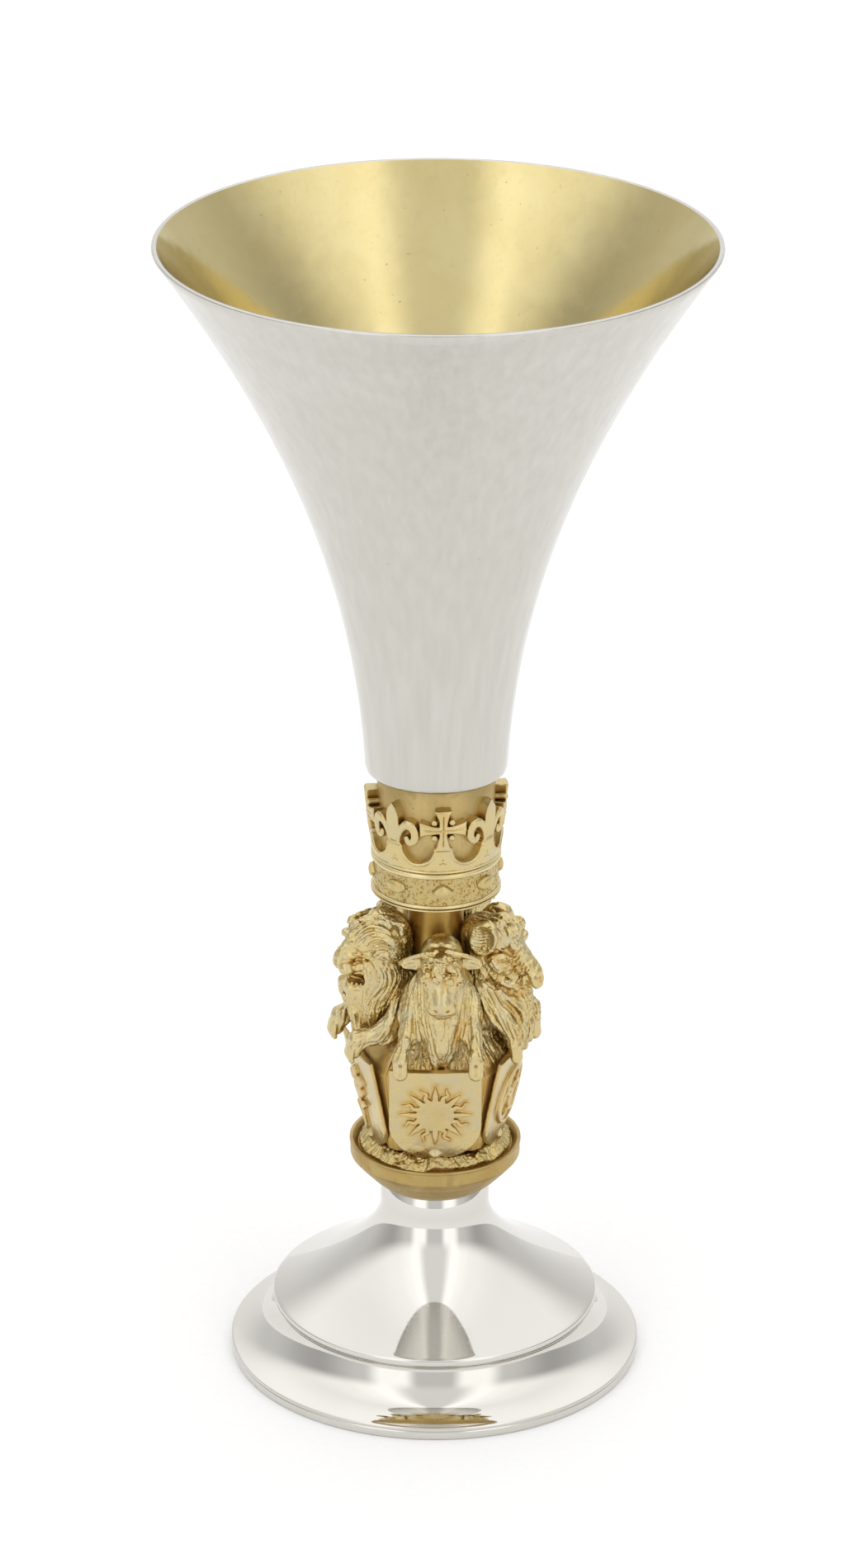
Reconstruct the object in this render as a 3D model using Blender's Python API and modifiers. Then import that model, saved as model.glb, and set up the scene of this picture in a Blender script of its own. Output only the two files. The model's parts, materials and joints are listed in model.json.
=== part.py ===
"""A communion chalice: a flared bowl on a crown, five beasts with shields and a two-step foot.

Lengths are in metres and +Z is up. The origin is on the axis, at the underside of the foot wire. The front
faces -Y, and an azimuth turns from there anticlockwise as seen from above.
"""

import math

import bmesh
import bpy
from mathutils import Matrix, Vector

OBJECT_NAME = "communion_chalice"
MM = 0.001
GAP = 0.0003  # room between neighbouring pieces
SEAM = 0.00001  # how close points are before they merge
RING_STEPS = 40
SMALL_RING_STEPS = 24

# Overall sizes
HEIGHT = 0.180
RIM_RADIUS = 0.0415
FOOT_RADIUS = 0.0317

# Bowl
BOWL_BOTTOM_Z = 0.0974
BOWL_BASE_RADIUS = 0.01074
BOWL_WALL = 0.0008
BOWL_FLOOR = 0.0012
BOWL_CORNER = 0.0011
BOWL_WAIST = (0.01232, 0.12611)
BOWL_FLARE = (0.0214, 0.15085)
BOWL_POINTS = 10

# Tie rod through the stack
ROD_RADIUS = 0.0015
ROD_HOLE_RADIUS = ROD_RADIUS + GAP
ROD_BOTTOM_Z = 0.022
ROD_TOP_Z = 0.096
SOCKET_RADIUS = 0.0036
SOCKET_BOTTOM_Z = 0.088
WASHER_RADIUS = 0.005
WASHER_THICKNESS = 0.0008
NUT_RADIUS = 0.0033
NUT_HEIGHT = 0.0023

# Crown
CROWN_TURN = math.radians(6)  # the crown is screwed home a little past the front
CROWN_BOTTOM_Z = 0.078
CROWN_PLATE = 0.001
BEAD_RADIUS = 0.00987
BEAD_POINTS = 4
BEAD_DEPTH = 0.0004
BAND_RADIUS = 0.0095
BAND_TOP_Z = 0.08285
UPPER_BEAD_TOP_Z = 0.0847
DRUM_RADIUS = 0.0089
DRUM_WALL = 0.0011
CREST_TOP_Z = 0.0952
CREST_BASE_RADIUS = 0.0099
CREST_TOP_RADIUS = 0.0109
CREST_SCALLOP_RADIUS = 0.0023
CREST_SCALLOP_Z = 0.0885
CREST_NOTCH_Z = 0.0922
CREST_NOTCH_WIDTH = 0.003
CREST_NOTCHES = 8
JEWELS = 8
JEWEL_Z = 0.0813
JEWEL_HEIGHT = 0.00055
LOZENGE_HALF = (0.00165, 0.0013)
OVAL_HALF = (0.0018, 0.0011)

# Stem
COLUMN_RADIUS = 0.00455
COLUMN_BORE = 0.0026
DISH_RADIUS = 0.01319
DISH_TOP_Z = 0.0359
DISH_SHOULDER_Z = 0.0334
DISH_CREASE = (0.0119, 0.0321)
DISH_BOTTOM = (0.0086, 0.0289)
DISH_FLOOR_Z = 0.0326
DISH_WELL_RADIUS = 0.012
GROUND_TOP_Z = 0.0374
GROUND_TOP_RADIUS = 0.0079
GROUND_SHELF_Z = 0.0352
GROUND_SHELF_RADII = (0.0114, 0.0085)
GROUND_RADIUS = DISH_WELL_RADIUS - GAP

# Shields, one in front of each beast
SHIELD_HALF_WIDTH = 0.007
SHIELD_BOTTOM_Z = 0.0375
SHIELD_TOP_Z = 0.0531
SHIELD_BOTTOM_RADIUS = 0.0102
SHIELD_TOP_RADIUS = 0.0134
SHIELD_LENGTH = math.hypot(SHIELD_TOP_Z - SHIELD_BOTTOM_Z, SHIELD_TOP_RADIUS - SHIELD_BOTTOM_RADIUS)
SHIELD_LEAN = math.asin((SHIELD_TOP_RADIUS - SHIELD_BOTTOM_RADIUS) / SHIELD_LENGTH)
SHIELD_THICKNESS = 0.0012
SHIELD_CURVE_HEIGHT = 0.0052
SHIELD_CURVE_POINTS = 6
SHIELD_FULLNESS = 0.8  # 1 makes the bottom half an ellipse; less fills its corners
SHIELD_POST_RADIUS = 0.0008
RELIEF_HEIGHT = 0.0004
RELIEF_RADIUS = 0.0058
SUN_DISC_SHARE = 0.6
SUN_RAYS = 16

# Beasts
BEASTS = 5
BEAST_WEDGE = math.radians(34.2)  # half of the space that one beast may fill
BEAST_REACH = 0.0175
BEAST_TOP_Z = CROWN_BOTTOM_Z - GAP
BEAST_BOTTOM_Z = GROUND_TOP_Z + GAP
BEAST_VOXEL = 0.0005
BEAST_FACES = 520

# Foot
NECK_RADIUS = 0.00835
NECK_TOP_Z = DISH_BOTTOM[1] - GAP
NECK_BOTTOM_Z = 0.0254
DOME_CURVE = ((0.00835, 0.0205), (0.0145, 0.0155), (0.0251, 0.0099))
DOME_POINTS = 7
DOME_EDGE_Z = 0.0089
DOME_WALL = 0.0009
FLANGE_WALL = 0.0006
FLANGE_TOP = (0.0245, 0.0077)
FLANGE_CURVE = ((0.0256, 0.0044), (0.0276, 0.0026), (FOOT_RADIUS, 0.002))
FLANGE_POINTS = 5
FOOT_WIRE_HEIGHT = 0.0011
FOOT_WIRE_WIDTH = 0.0022

# Finishes: colour, roughness
SILVER_SATIN = ((0.83, 0.82, 0.79), 0.35)
SILVER_BRIGHT = ((0.86, 0.86, 0.85), 0.08)
GILT_SATIN = ((0.83, 0.64, 0.30), 0.35)
GILT_BRIGHT = ((0.86, 0.66, 0.28), 0.18)
STEEL = ((0.55, 0.55, 0.56), 0.3)


def clear_scene():
    for old in list(bpy.data.objects):
        bpy.data.objects.remove(old)


def make_collection(name):
    group = bpy.data.collections.new(name)
    bpy.context.scene.collection.children.link(group)
    return group


def give_finish(piece, finish):
    """A metal of the piece's own."""
    colour, roughness = finish
    metal = bpy.data.materials.new(piece.name + "_finish")
    metal.use_nodes = True
    shader = metal.node_tree.nodes["Principled BSDF"]
    shader.inputs["Base Color"].default_value = (*colour, 1)
    shader.inputs["Metallic"].default_value = 1
    shader.inputs["Roughness"].default_value = roughness
    piece.data.materials.clear()
    piece.data.materials.append(metal)


def add_part(name, mesh, finish):
    """A sub-part of the chalice from a mesh."""
    part = bpy.data.objects.new(name, mesh)
    PARTS.objects.link(part)
    give_finish(part, finish)
    return part


def add_cutter(name, mesh):
    """A solid that only shapes others."""
    cutter = bpy.data.objects.new(name, mesh)
    cutter.hide_render = True
    cutter.display_type = "WIRE"
    CUTTERS.objects.link(cutter)
    return cutter


def bezier(start, curve, steps):
    """Points along a cubic curve from start, without start itself."""
    first, second, end = (Vector(point) for point in curve)
    start = Vector(start)
    points = []
    for step in range(1, steps + 1):
        t = step / steps
        s = 1 - t
        points.append(tuple(start * s**3 + first * 3 * s * s * t + second * 3 * s * t * t + end * t**3))
    return points


def turned(name, outline, finish, closed=True, wall=0.0, steps=RING_STEPS):
    """A turned piece. Its outline of (radius, height) points runs down the outer side.

    An open outline with a wall becomes a shell of that thickness, inwards from the outline.
    """
    mesh = bpy.data.meshes.new(name)
    count = len(outline)
    edges = [(i, (i + 1) % count) for i in range(count if closed else count - 1)]
    mesh.from_pydata([(radius, 0, height) for radius, height in outline], edges, [])
    part = add_part(name, mesh, finish)
    screw = part.modifiers.new("turn", "SCREW")
    screw.steps = steps
    screw.render_steps = steps
    screw.use_merge_vertices = True
    screw.merge_threshold = SEAM
    if wall:
        shell = part.modifiers.new("wall", "SOLIDIFY")
        shell.thickness = wall
        shell.offset = -1
        shell.use_even_offset = True
    return part


def ring(outer, inner, top, bottom):
    """The outline of a plain ring or tube."""
    return [(outer, top), (outer, bottom), (inner, bottom), (inner, top)]


def bead(outer, inner, top, bottom):
    """The outline of a ring whose outer side is rounded."""
    middle = (top + bottom) / 2
    side = []
    for step in range(BEAD_POINTS + 1):
        angle = math.pi / 2 - math.pi * step / BEAD_POINTS
        radius = outer - BEAD_DEPTH * (1 - math.cos(angle))
        side.append((radius, middle + (top - bottom) / 2 * math.sin(angle)))
    return side + [(inner, bottom), (inner, top)]


def outline_mesh(name, outlines, thickness):
    """A plate in XY, centred on Z, from closed outlines; an inner outline is a hole."""
    curve = bpy.data.curves.new(name, "CURVE")
    curve.dimensions = "2D"
    curve.fill_mode = "BOTH"
    curve.extrude = thickness / 2
    for outline in outlines:
        spline = curve.splines.new("POLY")
        spline.points.add(len(outline) - 1)
        spline.use_cyclic_u = True
        for point, (x, y) in zip(spline.points, outline):
            point.co = (x, y, 0, 1)
    holder = bpy.data.objects.new(name, curve)
    CUTTERS.objects.link(holder)
    graph = bpy.context.evaluated_depsgraph_get()
    mesh = bpy.data.meshes.new_from_object(holder.evaluated_get(graph))
    bpy.data.objects.remove(holder)
    shape = bmesh.new()
    shape.from_mesh(mesh)
    bmesh.ops.remove_doubles(shape, verts=shape.verts, dist=SEAM)
    shape.to_mesh(mesh)
    shape.free()
    return mesh


def circle(radius, count):
    turn = 2 * math.pi / count
    return [(radius * math.cos(i * turn), radius * math.sin(i * turn)) for i in range(count)]


def cylinder_mesh(name, radius, depth, sides=24):
    shape = bmesh.new()
    bmesh.ops.create_cone(shape, cap_ends=True, segments=sides, radius1=radius, radius2=radius, depth=depth)
    mesh = bpy.data.meshes.new(name)
    shape.to_mesh(mesh)
    shape.free()
    mesh.shade_smooth()
    mesh.set_sharp_from_angle(angle=math.radians(40))
    return mesh


def box_mesh(name, size):
    shape = bmesh.new()
    bmesh.ops.create_cube(shape, size=1, matrix=Matrix.Diagonal((*size, 1)))
    mesh = bpy.data.meshes.new(name)
    shape.to_mesh(mesh)
    shape.free()
    return mesh


def combine(part, other, operation):
    """Cuts, joins or crosses a part with another solid."""
    boolean = part.modifiers.new(other.name, "BOOLEAN")
    boolean.operation = operation
    boolean.solver = "EXACT"
    boolean.object = other


def radial_place(azimuth, radius, height):
    """The frame at an azimuth: X is sideways, Y up and Z outward."""
    outward = Matrix.Rotation(azimuth, 4, "Z") @ Matrix.Translation((0, -radius, height))
    return outward @ Matrix.Rotation(math.pi / 2, 4, "X")


def make_bowl():
    """One spun wall from the floor to a thin flat lip, over its threaded socket."""
    base = (BOWL_BASE_RADIUS, BOWL_BOTTOM_Z + BOWL_CORNER)
    side = bezier(base, (BOWL_WAIST, BOWL_FLARE, (RIM_RADIUS, HEIGHT)), BOWL_POINTS)
    inner = []
    for below, point in zip([base] + side, side):
        slope = (point[0] - below[0]) / (point[1] - below[1])
        inner.append((point[0] - BOWL_WALL * math.hypot(1, slope), point[1]))
    floor_z = BOWL_BOTTOM_Z + BOWL_FLOOR
    floor = [(0, floor_z), (BOWL_BASE_RADIUS - 2 * BOWL_WALL, floor_z)]
    bottom = [base, (BOWL_BASE_RADIUS - BOWL_CORNER, BOWL_BOTTOM_Z), (0, BOWL_BOTTOM_Z)]
    turned("bowl", floor + inner + side[::-1] + bottom, SILVER_SATIN, closed=False)
    socket = ring(SOCKET_RADIUS, ROD_HOLE_RADIUS, BOWL_BOTTOM_Z - GAP, SOCKET_BOTTOM_Z)
    turned("bowl_socket", socket, STEEL, steps=SMALL_RING_STEPS)


def make_crown():
    """The base plate with its bead, the drum, the band, the upper bead and the cresting."""
    plate_top = CROWN_BOTTOM_Z + CROWN_PLATE
    turned("circlet_lower_bead", bead(BEAD_RADIUS, ROD_HOLE_RADIUS, plate_top, CROWN_BOTTOM_Z), GILT_BRIGHT)
    drum_bottom = plate_top + GAP
    drum_top = BOWL_BOTTOM_Z - GAP
    drum_inner = DRUM_RADIUS - DRUM_WALL
    drum = [(DRUM_RADIUS, drum_top), (DRUM_RADIUS, drum_bottom), (ROD_HOLE_RADIUS, drum_bottom)]
    drum += [(ROD_HOLE_RADIUS, drum_bottom + DRUM_WALL), (drum_inner, drum_bottom + DRUM_WALL)]
    turned("crown_drum", drum + [(drum_inner, drum_top)], GILT_SATIN)
    inner = DRUM_RADIUS + GAP
    turned("circlet_band", ring(BAND_RADIUS, inner, BAND_TOP_Z, drum_bottom), GILT_SATIN)
    turned("circlet_upper_bead", bead(BEAD_RADIUS, inner, UPPER_BEAD_TOP_Z, BAND_TOP_Z + GAP), GILT_BRIGHT)
    make_cresting(inner)
    for index in range(JEWELS):
        make_jewel(index)


def make_cresting(inner):
    """A flaring wall, pierced and notched between its crosses and lilies."""
    bottom = UPPER_BEAD_TOP_Z + GAP
    wall = [(CREST_TOP_RADIUS, CREST_TOP_Z), (CREST_BASE_RADIUS, bottom)]
    wall += [(inner, bottom), (inner, CREST_TOP_Z)]
    cresting = turned("crown_cresting", wall, GILT_SATIN)
    reach = CREST_TOP_RADIUS - inner + 4 * GAP
    middle = (CREST_TOP_RADIUS + inner) / 2
    scallop = cylinder_mesh("scallop", CREST_SCALLOP_RADIUS, reach, 16)
    notch_height = 2 * (CREST_TOP_Z - CREST_NOTCH_Z)
    notch = box_mesh("notch", (CREST_NOTCH_WIDTH, notch_height, reach))
    for index in range(CREST_NOTCHES):
        azimuth = CROWN_TURN + (index + 0.5) * 2 * math.pi / CREST_NOTCHES
        for mesh, height in ((scallop, CREST_SCALLOP_Z), (notch, CREST_TOP_Z)):
            cutter = add_cutter(f"{mesh.name}_cut_{index}", mesh)
            cutter.matrix_world = radial_place(azimuth, middle, height)
            combine(cresting, cutter, "DIFFERENCE")


def make_jewel(index):
    """A lozenge or, between two of them, an oval, raised on the band."""
    azimuth = CROWN_TURN + index * 2 * math.pi / JEWELS
    lozenge = index % 2 == 0
    half = LOZENGE_HALF if lozenge else OVAL_HALF
    sides = 4 if lozenge else 16
    top_share = 0.35 if lozenge else 0.6
    shape = bmesh.new()
    bmesh.ops.create_cone(shape, cap_ends=True, segments=sides, radius1=1, radius2=top_share, depth=1)
    bmesh.ops.scale(shape, vec=(half[0], half[1], JEWEL_HEIGHT), verts=shape.verts)
    name = f"jewel_{'lozenge' if lozenge else 'oval'}_{index // 2 + 1}"
    mesh = bpy.data.meshes.new(name)
    shape.to_mesh(mesh)
    shape.free()
    jewel = add_part(name, mesh, GILT_BRIGHT)
    jewel.matrix_world = radial_place(azimuth, BAND_RADIUS + GAP + JEWEL_HEIGHT / 2, JEWEL_Z)


def make_stem():
    """The column inside the beasts, the dish and the ground that fills it."""
    column = ring(COLUMN_RADIUS, COLUMN_BORE, CROWN_BOTTOM_Z - GAP, DISH_FLOOR_Z + GAP)
    turned("stem_column", column, GILT_SATIN, steps=SMALL_RING_STEPS)
    dish = [(DISH_RADIUS, DISH_TOP_Z), (DISH_RADIUS, DISH_SHOULDER_Z), DISH_CREASE, DISH_BOTTOM]
    dish += [(ROD_HOLE_RADIUS, DISH_BOTTOM[1]), (ROD_HOLE_RADIUS, DISH_FLOOR_Z)]
    dish += [(DISH_WELL_RADIUS, DISH_FLOOR_Z), (DISH_WELL_RADIUS, DISH_TOP_Z)]
    turned("stem_dish", dish, GILT_SATIN)
    inner = COLUMN_RADIUS + GAP
    outer_shelf, inner_shelf = GROUND_SHELF_RADII
    bottom = DISH_FLOOR_Z + GAP
    ground = [(GROUND_TOP_RADIUS, GROUND_TOP_Z), (inner_shelf, GROUND_SHELF_Z), (outer_shelf, GROUND_SHELF_Z)]
    ground += [(GROUND_RADIUS, bottom), (inner, bottom), (inner, GROUND_TOP_Z)]
    turned("shield_ground", ground, GILT_SATIN)


def shield_outline():
    """A flat top, straight sides and a full rounded bottom, from Y = 0 up."""
    right = []
    for step in range(SHIELD_CURVE_POINTS + 1):
        angle = step / SHIELD_CURVE_POINTS * math.pi / 2
        across = SHIELD_HALF_WIDTH * math.sin(angle) ** SHIELD_FULLNESS
        right.append((across, SHIELD_CURVE_HEIGHT * (1 - math.cos(angle) ** SHIELD_FULLNESS)))
    right.append((SHIELD_HALF_WIDTH, SHIELD_LENGTH))
    return right + [(-x, y) for x, y in reversed(right) if x > 0]


def shield_place(azimuth):
    """The frame of a shield's face from its lowest point: X sideways, Y up the face and Z outward."""
    upright = radial_place(azimuth, SHIELD_BOTTOM_RADIUS, SHIELD_BOTTOM_Z)
    return upright @ Matrix.Rotation(SHIELD_LEAN, 4, "X")


def sun_outline():
    """A disc with pointed rays."""
    points = []
    for (x, y), share in zip(circle(RELIEF_RADIUS, 2 * SUN_RAYS), (1, SUN_DISC_SHARE) * SUN_RAYS):
        points.append((x * share, y * share))
    return points


def bar_outline(half_width, half_height):
    right = [(half_width, -half_height), (half_width, half_height)]
    return right + [(-half_width, half_height), (-half_width, -half_height)]


def make_shield(name, azimuth, emblem):
    """A leaning plate with a raised emblem, on a short post."""
    place = shield_place(azimuth)
    plate = outline_mesh(name, [shield_outline()], SHIELD_THICKNESS)
    shield = add_part(name, plate, GILT_SATIN)
    shield.matrix_world = place @ Matrix.Translation((0, 0, -SHIELD_THICKNESS / 2))
    relief = add_cutter(name + "_relief", outline_mesh(name + "_relief", [emblem], 2 * RELIEF_HEIGHT))
    relief.matrix_world = place @ Matrix.Translation((0, SHIELD_LENGTH / 2, 0))
    combine(shield, relief, "UNION")
    bottom = GROUND_SHELF_Z + GAP
    height = SHIELD_BOTTOM_Z + SHIELD_POST_RADIUS / 2 - bottom
    post = add_cutter(name + "_post", cylinder_mesh(name + "_post", SHIELD_POST_RADIUS, height, 12))
    radius = SHIELD_BOTTOM_RADIUS - SHIELD_THICKNESS / 2
    spin = Matrix.Rotation(azimuth, 4, "Z")
    post.matrix_world = spin @ Matrix.Translation((0, -radius, bottom + height / 2))
    combine(shield, post, "UNION")


def ellipsoids_mesh(name, blobs):
    """Overlapping ellipsoids in one mesh, each a centre and radii in millimetres and a tilt in degrees."""
    shape = bmesh.new()
    for centre, radii, tilt in blobs:
        place = Matrix.Translation(Vector(centre) * MM) @ Matrix.Rotation(math.radians(tilt), 4, "X")
        place = place @ Matrix.Diagonal((*(Vector(radii) * MM), 1))
        bmesh.ops.create_uvsphere(shape, u_segments=20, v_segments=12, radius=1, matrix=place)
    mesh = bpy.data.meshes.new(name)
    shape.to_mesh(mesh)
    shape.free()
    return mesh


def both_sides(blobs):
    """The blobs and their mirror images in X."""
    return blobs + [((-x, y, z), radii, tilt) for (x, y, z), radii, tilt in blobs]


def beast_room():
    """The sector of space that one beast may fill, round the column and under the crown."""
    inner = COLUMN_RADIUS + GAP
    angles = [BEAST_WEDGE * share / 6 for share in range(-6, 7)]
    outer_arc = [(BEAST_REACH * math.sin(a), -BEAST_REACH * math.cos(a)) for a in angles]
    inner_arc = [(inner * math.sin(a), -inner * math.cos(a)) for a in reversed(angles)]
    return outline_mesh("beast_room", [outer_arc + inner_arc], BEAST_TOP_Z - BEAST_BOTTOM_Z)


def make_beast(name, azimuth, blobs, room):
    """A beast's fore part, merged from ellipsoids and kept clear of its neighbours and its shield."""
    spin = Matrix.Rotation(azimuth, 4, "Z")
    beast = add_part(name, ellipsoids_mesh(name, blobs), GILT_SATIN)
    beast.matrix_world = spin
    remesh = beast.modifiers.new("merge", "REMESH")
    remesh.mode = "VOXEL"
    remesh.voxel_size = BEAST_VOXEL
    graph = bpy.context.evaluated_depsgraph_get()
    faces = 2 * len(beast.evaluated_get(graph).data.polygons)
    thin = beast.modifiers.new("thin", "DECIMATE")
    thin.ratio = min(1.0, BEAST_FACES / faces)
    limits = add_cutter(name + "_room", room)
    limits.matrix_world = spin @ Matrix.Translation((0, 0, (BEAST_TOP_Z + BEAST_BOTTOM_Z) / 2))
    combine(beast, limits, "INTERSECT")
    make_shield_room(beast, azimuth)


def make_shield_room(beast, azimuth):
    """Clears the space of the shield and everything in front of it, up to just over its top."""
    depth = BEAST_REACH - SHIELD_BOTTOM_RADIUS
    name = beast.name + "_shield_room"
    clearance = add_cutter(name, box_mesh(name, (3 * SHIELD_HALF_WIDTH, 2 * SHIELD_LENGTH, depth)))
    inner_face = SHIELD_THICKNESS + GAP
    clearance.matrix_world = shield_place(azimuth) @ Matrix.Translation((0, GAP, depth / 2 - inner_face))
    combine(beast, clearance, "DIFFERENCE")


# Every beast stands behind its shield with its forelegs over the top.
TORSO = [
    ((0, -7.6, 49), (4.6, 3.2, 12), 0),
    ((0, -8.6, 59), (4.6, 3.8, 7), 0),
]
FORELEGS = both_sides([
    ((4.4, -9.6, 58), (1.7, 1.9, 4.2), -25),
    ((5.2, -12.7, 55.4), (1.3, 2.2, 1.9), 0),
])
BULL = TORSO + FORELEGS + both_sides([((4.6, -9.6, 69.5), (2.4, 0.8, 0.9), 0)]) + [
    ((0, -8.4, 66), (3.6, 3.4, 5), 0),
    ((0, -10.8, 68.4), (3, 3, 3.1), 0),
    ((0, -12.6, 64.6), (2, 2.2, 3.8), -20),
]
LION = TORSO + FORELEGS + [
    ((0, -8.8, 66), (5, 3.8, 8), 0),
    ((0, -10.4, 69.5), (4.4, 4, 5.2), 0),
    ((0, -13.4, 69), (2.4, 2.6, 2.6), 0),
    ((0, -13.2, 66.4), (1.6, 1.9, 1.5), 0),
]
BOAR = TORSO + FORELEGS + both_sides([((3.2, -7.6, 73.2), (1.2, 0.9, 2), 0)]) + [
    ((0, -8.4, 67), (4, 3.6, 6), 0),
    ((0, -10.6, 69.6), (3.2, 3.4, 3.4), 0),
    ((0, -13.6, 67), (1.7, 3.2, 1.9), 25),
]
HART = TORSO + FORELEGS + both_sides([((3.6, -8.6, 72), (1.9, 0.8, 1), 0)]) + [
    ((0, -8.2, 67), (3.2, 3, 6.5), 0),
    ((0, -10.2, 71), (2.6, 2.8, 3), 0),
    ((0, -12.8, 68), (1.6, 2, 3), -30),
]
FALCON = TORSO + FORELEGS + both_sides([((4.4, -8.2, 60), (1.6, 2.6, 7), 0)]) + [
    ((0, -8.2, 67), (3.4, 3.2, 6.5), 0),
    ((0, -9.6, 72), (3.2, 3.2, 3.4), 0),
    ((0, -12.6, 71.4), (1.1, 1.8, 1.3), 20),
]


def make_beasts():
    """Five beasts round the column, each behind its shield."""
    room = beast_room()
    kinds = (
        ("bull", BULL, sun_outline()),
        ("boar", BOAR, circle(RELIEF_RADIUS * 0.8, 24)),
        ("falcon", FALCON, circle(RELIEF_RADIUS * 0.8, 4)),
        ("hart", HART, bar_outline(0.004, 0.001)),
        ("lion", LION, bar_outline(0.0008, 0.005)),
    )
    for index, (kind, blobs, emblem) in enumerate(kinds):
        azimuth = index * 2 * math.pi / BEASTS
        make_beast("beast_" + kind, azimuth, blobs, room)
        make_shield("shield_" + kind, azimuth, emblem)


def make_foot():
    """The raised dome, the spreading flange under it and the wire that it stands on."""
    dome = [(ROD_HOLE_RADIUS, NECK_TOP_Z), (NECK_RADIUS, NECK_TOP_Z), (NECK_RADIUS, NECK_BOTTOM_Z)]
    dome += bezier((NECK_RADIUS, NECK_BOTTOM_Z), DOME_CURVE, DOME_POINTS)
    dome += [(DOME_CURVE[2][0], DOME_EDGE_Z), (FLANGE_TOP[0], FLANGE_TOP[1] + GAP)]
    turned("foot_dome", dome, SILVER_BRIGHT, closed=False, wall=DOME_WALL)
    flange = [FLANGE_TOP] + bezier(FLANGE_TOP, FLANGE_CURVE, FLANGE_POINTS)
    turned("foot_flange", flange, SILVER_BRIGHT, closed=False, wall=FLANGE_WALL)
    wire = ring(FOOT_RADIUS, FOOT_RADIUS - FOOT_WIRE_WIDTH, FOOT_WIRE_HEIGHT, 0)
    turned("foot_wire", wire, SILVER_BRIGHT)


def make_fastening():
    """The rod that holds the stack, with its washer and nut inside the foot."""
    rod = add_part("tie_rod", cylinder_mesh("tie_rod", ROD_RADIUS, ROD_TOP_Z - ROD_BOTTOM_Z), STEEL)
    rod.location.z = (ROD_TOP_Z + ROD_BOTTOM_Z) / 2
    washer_top = NECK_TOP_Z - DOME_WALL - GAP
    washer_bottom = washer_top - WASHER_THICKNESS
    washer = ring(WASHER_RADIUS, ROD_HOLE_RADIUS, washer_top, washer_bottom)
    turned("tie_washer", washer, STEEL, steps=SMALL_RING_STEPS)
    nut_mesh = outline_mesh("tie_nut", [circle(NUT_RADIUS, 6), circle(ROD_HOLE_RADIUS, 24)], NUT_HEIGHT)
    nut = add_part("tie_nut", nut_mesh, STEEL)
    nut.location.z = washer_bottom - GAP - NUT_HEIGHT / 2


clear_scene()
PARTS = make_collection(OBJECT_NAME)
CUTTERS = make_collection("cutters")
make_foot()
make_fastening()
make_stem()
make_beasts()
make_crown()
make_bowl()
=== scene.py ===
import itertools
import json
import math

import bmesh
import bpy
import numpy as np
from mathutils import Matrix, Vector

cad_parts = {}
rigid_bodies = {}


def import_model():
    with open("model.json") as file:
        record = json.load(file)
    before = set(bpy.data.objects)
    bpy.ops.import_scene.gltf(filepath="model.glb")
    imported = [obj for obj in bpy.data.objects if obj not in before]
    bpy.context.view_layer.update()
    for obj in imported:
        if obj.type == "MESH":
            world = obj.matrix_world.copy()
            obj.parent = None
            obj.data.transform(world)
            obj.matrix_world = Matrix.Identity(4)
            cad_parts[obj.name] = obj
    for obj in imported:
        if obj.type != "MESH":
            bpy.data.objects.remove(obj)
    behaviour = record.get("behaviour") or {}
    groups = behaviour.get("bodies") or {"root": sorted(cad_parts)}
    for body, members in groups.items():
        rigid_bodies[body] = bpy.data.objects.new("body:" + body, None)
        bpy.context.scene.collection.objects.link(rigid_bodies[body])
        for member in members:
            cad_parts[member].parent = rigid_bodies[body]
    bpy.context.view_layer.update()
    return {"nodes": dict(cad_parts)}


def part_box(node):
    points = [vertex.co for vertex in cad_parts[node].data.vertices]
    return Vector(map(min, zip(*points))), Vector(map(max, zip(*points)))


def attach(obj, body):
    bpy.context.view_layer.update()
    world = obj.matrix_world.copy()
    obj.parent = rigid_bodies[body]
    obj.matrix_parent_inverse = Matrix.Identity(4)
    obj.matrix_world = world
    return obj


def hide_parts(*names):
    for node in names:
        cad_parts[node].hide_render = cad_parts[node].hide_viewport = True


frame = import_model()

# The looks of a communion chalice, in metres. The axis is Z and the front faces -Y, as in the CAD frame.
MM = 0.001
TAU = 2 * math.pi
BOWL_WALL = 0.8 * MM
FOOT_WALL = 0.9 * MM
FLANGE_WALL = 0.6 * MM
FOOT_WIRE_WIDTH = 2.2 * MM
TURN_STEPS = 256
SEED = 7
SIDES = (-1, 1)
CORNERS = list(itertools.product((0, 1), repeat=3))


def node_low(name):
    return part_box(name)[0]


def node_high(name):
    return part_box(name)[1]


RIM_RADIUS = node_high("bowl").x
RIM_Z = node_high("bowl").z
BOWL_BOTTOM_Z = node_low("bowl").z
DRUM_RADIUS = node_high("crown_drum").x
CROWN_BOTTOM_Z = node_low("circlet_lower_bead").z
FOOT_RADIUS = node_high("foot_wire").x


# ---------------------------------------------------------------- meshes

def add_mesh(name, points, faces, smooth_angle=None):
    """A mesh object from arrays of points and of triangles or quads."""
    mesh = bpy.data.meshes.new(name)
    points = np.asarray(points, np.float32)
    faces = np.asarray(faces, np.int32)
    sides = faces.shape[1]
    mesh.vertices.add(len(points))
    mesh.vertices.foreach_set("co", points.ravel())
    mesh.loops.add(faces.size)
    mesh.loops.foreach_set("vertex_index", faces.ravel())
    mesh.polygons.add(len(faces))
    mesh.polygons.foreach_set("loop_start", np.arange(0, faces.size, sides, dtype=np.int32))
    mesh.update(calc_edges=True)
    mesh.shade_smooth()
    if smooth_angle:
        mesh.set_sharp_from_angle(angle=math.radians(smooth_angle))
    piece = bpy.data.objects.new(name, mesh)
    bpy.context.scene.collection.objects.link(piece)
    return piece


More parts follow.
